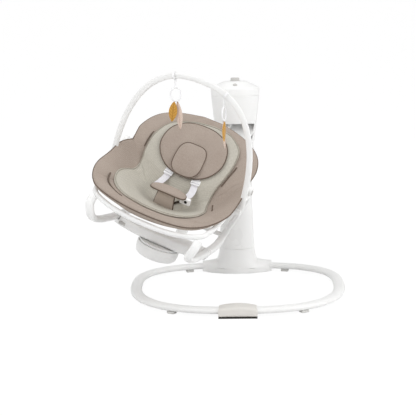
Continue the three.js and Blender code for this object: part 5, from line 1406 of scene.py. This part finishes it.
# The crotch strap is wide and soft, narrower at the belly pad, and leans forward out of a slot; a near-black
# strip of painted shade stands for the slot's shadowed opening.
share = np.linspace(0, 1, 40)
centre = np.stack([mix(-9, -3, share), mix(-76, BELLY[1] + 2, share), mix(258, BELLY[2] - 4, share)], 1)
centre[:, 1] -= 5 * np.sin(share * math.pi)
x, y = even_oval(1, 1, 5, 48)
across = np.array([1.0, 0, 0])
facing = np.array([0, 0.87, 0.45])
wide, thick = mix(35, 27, share), 4.2 + 1.6 * np.sin(share * math.pi)
rings = (centre[:, None] + wide[:, None, None] * x[None, :, None] * across
         + thick[:, None, None] * y[None, :, None] * facing)
weave = np.stack(np.broadcast_arrays(x[None] * 32, share[:, None] * 95, 0.0), -1) * MM
# The same taupe knit a shade lighter: painted light, which offsets the shade that the belly pad casts on the
# crotch strap.
TAUPE_PAINTED_LIGHT = knit("taupe_knit_painted_light", "cdc0b5", "bfb1a5", "d8ccc2", 1.6, 0.0003, 0.35)
crotch = loft("crotch_strap", rings, SEAT, 60, weave=weave.reshape(-1, 3))
settle(crotch, "rocker", "taupe_fabric", TAUPE_PAINTED_LIGHT)
for name, side in SIDES:
    path = centre + across * (side * (wide + 0.4))[:, None]
    edge_rings = section_rings(evenly(path, 60), facing, 3.2, 1.6, 2, 10, ends=1.2)
    bead = loft(f"crotch_strap_edge_{name}", edge_rings, SEAT, 80)
    settle(bead, "rocker", "taupe_fabric", BINDING_AND_GAP_SHADE)
# Painted shade: a near-black strip where the slot's opening lies in shadow.
slot = piping("crotch_slot_shadow", ((-0.12, 0.8), (-0.02, 0.91), (0.06, 0.97), (0.13, 1.0)), 16.5, 5.5, flat=0.35)
settle(slot, "rocker", "taupe_fabric", SLOT_SHADE)

BUCKLE_FRAME = SEAT @ Matrix.Translation(Vector((60, -104, 319)) * MM) @ Matrix.Rotation(BELLY_TILT, 4, "X")
buckle_body = rounded_box("buckle_body", (36, 12, 24), 4, BUCKLE_FRAME, 6)
well = cutting_rod((3, -20, 0), (3, 3.6, 0), 5.5, BUCKLE_FRAME)
groove = rounded_box("tool", (1.0, 30, 40), 0.4, BUCKLE_FRAME @ Matrix.Translation((-8 * MM, -14 * MM, 0)))
settle(carved(buckle_body, well, groove), "rocker", "white_webbing", GLOSS_WHITE, "buckle")
profile = soft_corners([[0.3, -1], [5, -1], [5, 6.4], [3.6, 6.8], [0.3, 6.2]], 0.6, 5)
press = turned("buckle_press_button", profile, along_axis((3, 0, 0), (3, -1, 0), BUCKLE_FRAME))
settle(press, "buckle_press", "dark_plastic", GLOSS_BLACK, "buckle_button")

# ================================================================ hanging toys
# Two toys hang plumb from white loops round the bow. Each is an oval ring of white plastic with two stuffed
# cloth leaves under it, one of amber velour with a stitched rib and one of pale cotton.
RING_HALF_WIDTH, RING_HALF_HEIGHT, RING_BAR, STRAP_DROP = 15.5, 20.5, 2.6, 36
LOOP_HALF = BAR_SECTION + 1.6


def leaf_cloth(name, ground, dark, thread, vein, pile):
    """Cloth of a leaf: a stitched middle rib and slanting side ribs in another thread, from the place
    across and along the leaf, over a fine noise for the pile. The ribs are about 2 mm wide."""
    material, tree = new_material(name)
    where = cloth_place(tree)
    split = add_node(tree, "ShaderNodeSeparateXYZ", {0: where})
    wide = add_node(tree, "ShaderNodeMath", {0: split.outputs["X"]}, operation="ABSOLUTE")
    rib = add_node(tree, "ShaderNodeMapRange", {0: wide.outputs[0], 1: 0.0008, 2: 0.0016, 3: 1.0, 4: 0.0})
    slant = add_node(tree, "ShaderNodeMath", {0: wide.outputs[0], 1: 0.9, 2: split.outputs["Y"]},
                     operation="MULTIPLY_ADD")
    turns = add_node(tree, "ShaderNodeMath", {0: slant.outputs[0], 1: 2 * math.pi / (vein * MM)},
                     operation="MULTIPLY")
    wave = add_node(tree, "ShaderNodeMath", {0: turns.outputs[0]}, operation="COSINE")
    side = add_node(tree, "ShaderNodeMapRange", {0: wave.outputs[0], 1: 0.7, 2: 0.92})
    either = add_node(tree, "ShaderNodeMath", {0: rib.outputs[0], 1: side.outputs[0]}, operation="MAXIMUM")
    step = add_node(tree, "ShaderNodeMath", {0: split.outputs["Y"], 1: 2 * math.pi / (2.4 * MM)},
                    operation="MULTIPLY")
    dash = add_node(tree, "ShaderNodeMath", {0: step.outputs[0]}, operation="SINE")
    shown = add_node(tree, "ShaderNodeMapRange", {0: dash.outputs[0], 1: -0.5, 2: -0.2})
    stitch = add_node(tree, "ShaderNodeMath", {0: either.outputs[0], 1: shown.outputs[0]},
                      operation="MULTIPLY")
    nap = add_node(tree, "ShaderNodeTexNoise", {"Vector": where, "Scale": pile, "Detail": 4.0})
    mixed = add_node(tree, "ShaderNodeMix", {0: nap.outputs[0], 6: linear(dark), 7: linear(ground)},
                     data_type="RGBA")
    tone = add_node(tree, "ShaderNodeMix", {0: stitch.outputs[0], 6: mixed.outputs[2], 7: linear(thread)},
                    data_type="RGBA")
    low = add_node(tree, "ShaderNodeMath", {0: nap.outputs[0], 1: stitch.outputs[0]}, operation="SUBTRACT")
    bump = add_node(tree, "ShaderNodeBump", {"Strength": 0.6, "Distance": 0.0004, "Height": low.outputs[0]})
    surface = add_node(tree, "ShaderNodeBsdfPrincipled", {
        "Base Color": tone.outputs[2], "Roughness": 0.9, "Normal": bump.outputs[0], "Sheen Weight": 0.4,
        "Specular IOR Level": 0.2})
    add_node(tree, "ShaderNodeOutputMaterial", {"Surface": surface.outputs[0]})
    return material


# Amber velour with a brown stitched rib and side ribs 9 mm apart.
AMBER = leaf_cloth("amber_velour", "d2a04c", "b98838", "9c6c22", 9.0, 1500.0)
# Pale cotton with rows of small stitches 5 mm apart.
PALE = leaf_cloth("pale_stitched_cotton", "e0cfc2", "d5c2b4", "b08a76", 5.0, 2200.0)


def leaf(name, length, width, thickness, frame_matrix):
    """A stuffed leaf hanging along -Z: pointed at both ends, lens-shaped in section, with a sewn edge."""
    s = 0.5 - 0.5 * np.cos(np.linspace(0, math.pi, 61))
    half = np.maximum(0.7, width / 2 * np.sin(math.pi * np.minimum(0.985, 0.03 + s * 0.955)) ** 0.8)
    angle = np.linspace(0, 2 * math.pi, 48, endpoint=False)
    across = np.cos(angle)
    puff = np.sign(np.sin(angle)) * np.abs(np.sin(angle)) ** 1.5
    thick = thickness / 2 * np.minimum(1, half / (width * 0.32)) + 0.35
    bow = 2.0 * np.sin(s * math.pi * 1.1)
    x, y = half[:, None] * across, thick[:, None] * puff + bow[:, None] * 0.5
    points = np.stack(np.broadcast_arrays(x, y, -s[:, None] * length), -1)
    weave = np.stack(np.broadcast_arrays(x, s[:, None] * length, 0.0), -1) * MM
    return loft(name, points, frame_matrix, 80, weave=weave.reshape(-1, 3))


def hoop(name, half_width, half_height, tube, depth, frame_matrix, count=120):
    """An oval hoop in the XZ plane."""
    angle = np.linspace(0, 2 * math.pi, count, endpoint=False)
    path = np.stack([half_width * np.cos(angle), 0 * angle, half_height * np.sin(angle)], 1)
    rings = section_rings(path, (0, 1, 0), depth, tube, 2.2, 20, closed=True)
    return loft(name, rings, frame_matrix, 60, closed=True)


for name, angle, turn in (("left", 108, 0), ("right", 73, 68)):
    hung = SEAT @ (Vector(bar_point(math.radians(angle))) * MM)
    before, after = (SEAT @ (Vector(bar_point(math.radians(angle + d))) * MM) for d in (-1, 1))
    along = (before - after).normalized()
    outward = (SEAT.to_3x3() @ Vector(BAR_NORMAL)).normalized()
    radial = outward.cross(along)
    place = Matrix.Translation(hung)
    basis = Matrix((outward, along, radial)).transposed().to_4x4()
    loop = hoop("tool", LOOP_HALF, LOOP_HALF, 0.8, 3, place @ basis, 72)
    foot = radial * (-LOOP_HALF * math.copysign(1, radial.z))
    turned_frame = Matrix.Rotation(math.radians(turn), 4, "Z")
    low = Vector((foot.x, foot.y, -STRAP_DROP - RING_HALF_HEIGHT))
    ring_frame = place @ Matrix.Translation(low * MM) @ turned_frame
    ring = hoop("toy_hoop_" + name, RING_HALF_WIDTH, RING_HALF_HEIGHT, RING_BAR, RING_BAR, ring_frame)
    middle = Vector((foot.x, foot.y, (foot.z - STRAP_DROP + 1) / 2))
    tab_frame = place @ Matrix.Translation(middle * MM) @ turned_frame
    tab = rounded_box("tool", (7, 1.6, STRAP_DROP - 1 + foot.z), 0.7, tab_frame)
    settle(carved(ring, join=[loop, tab]), f"toy_{name[0]}", "white_plastic", GLOSS_WHITE, f"toy_ring_{name}")

    top = -STRAP_DROP - 2 * RING_HALF_HEIGHT - RING_BAR + 0.6
    hang = place @ Matrix.Translation(Vector((foot.x, foot.y, top)) * MM) @ turned_frame
    for kind, length, width, side, lean, cloth in (
            ("amber", 60, 26, -1, 8, AMBER),
            ("pale", 84, 21, 1, -5, PALE)):
        aside = Matrix.Translation((side * 5 * MM, side * 4 * MM, 0))
        leaning = Matrix.Rotation(math.radians(lean), 4, "Y")
        made = leaf(f"{kind}_leaf_{name}", length, width, 6, hang @ aside @ leaning)
        settle(made, f"toy_{name[0]}", f"{kind}_fabric", cloth, f"leaf_{kind}_{name}")
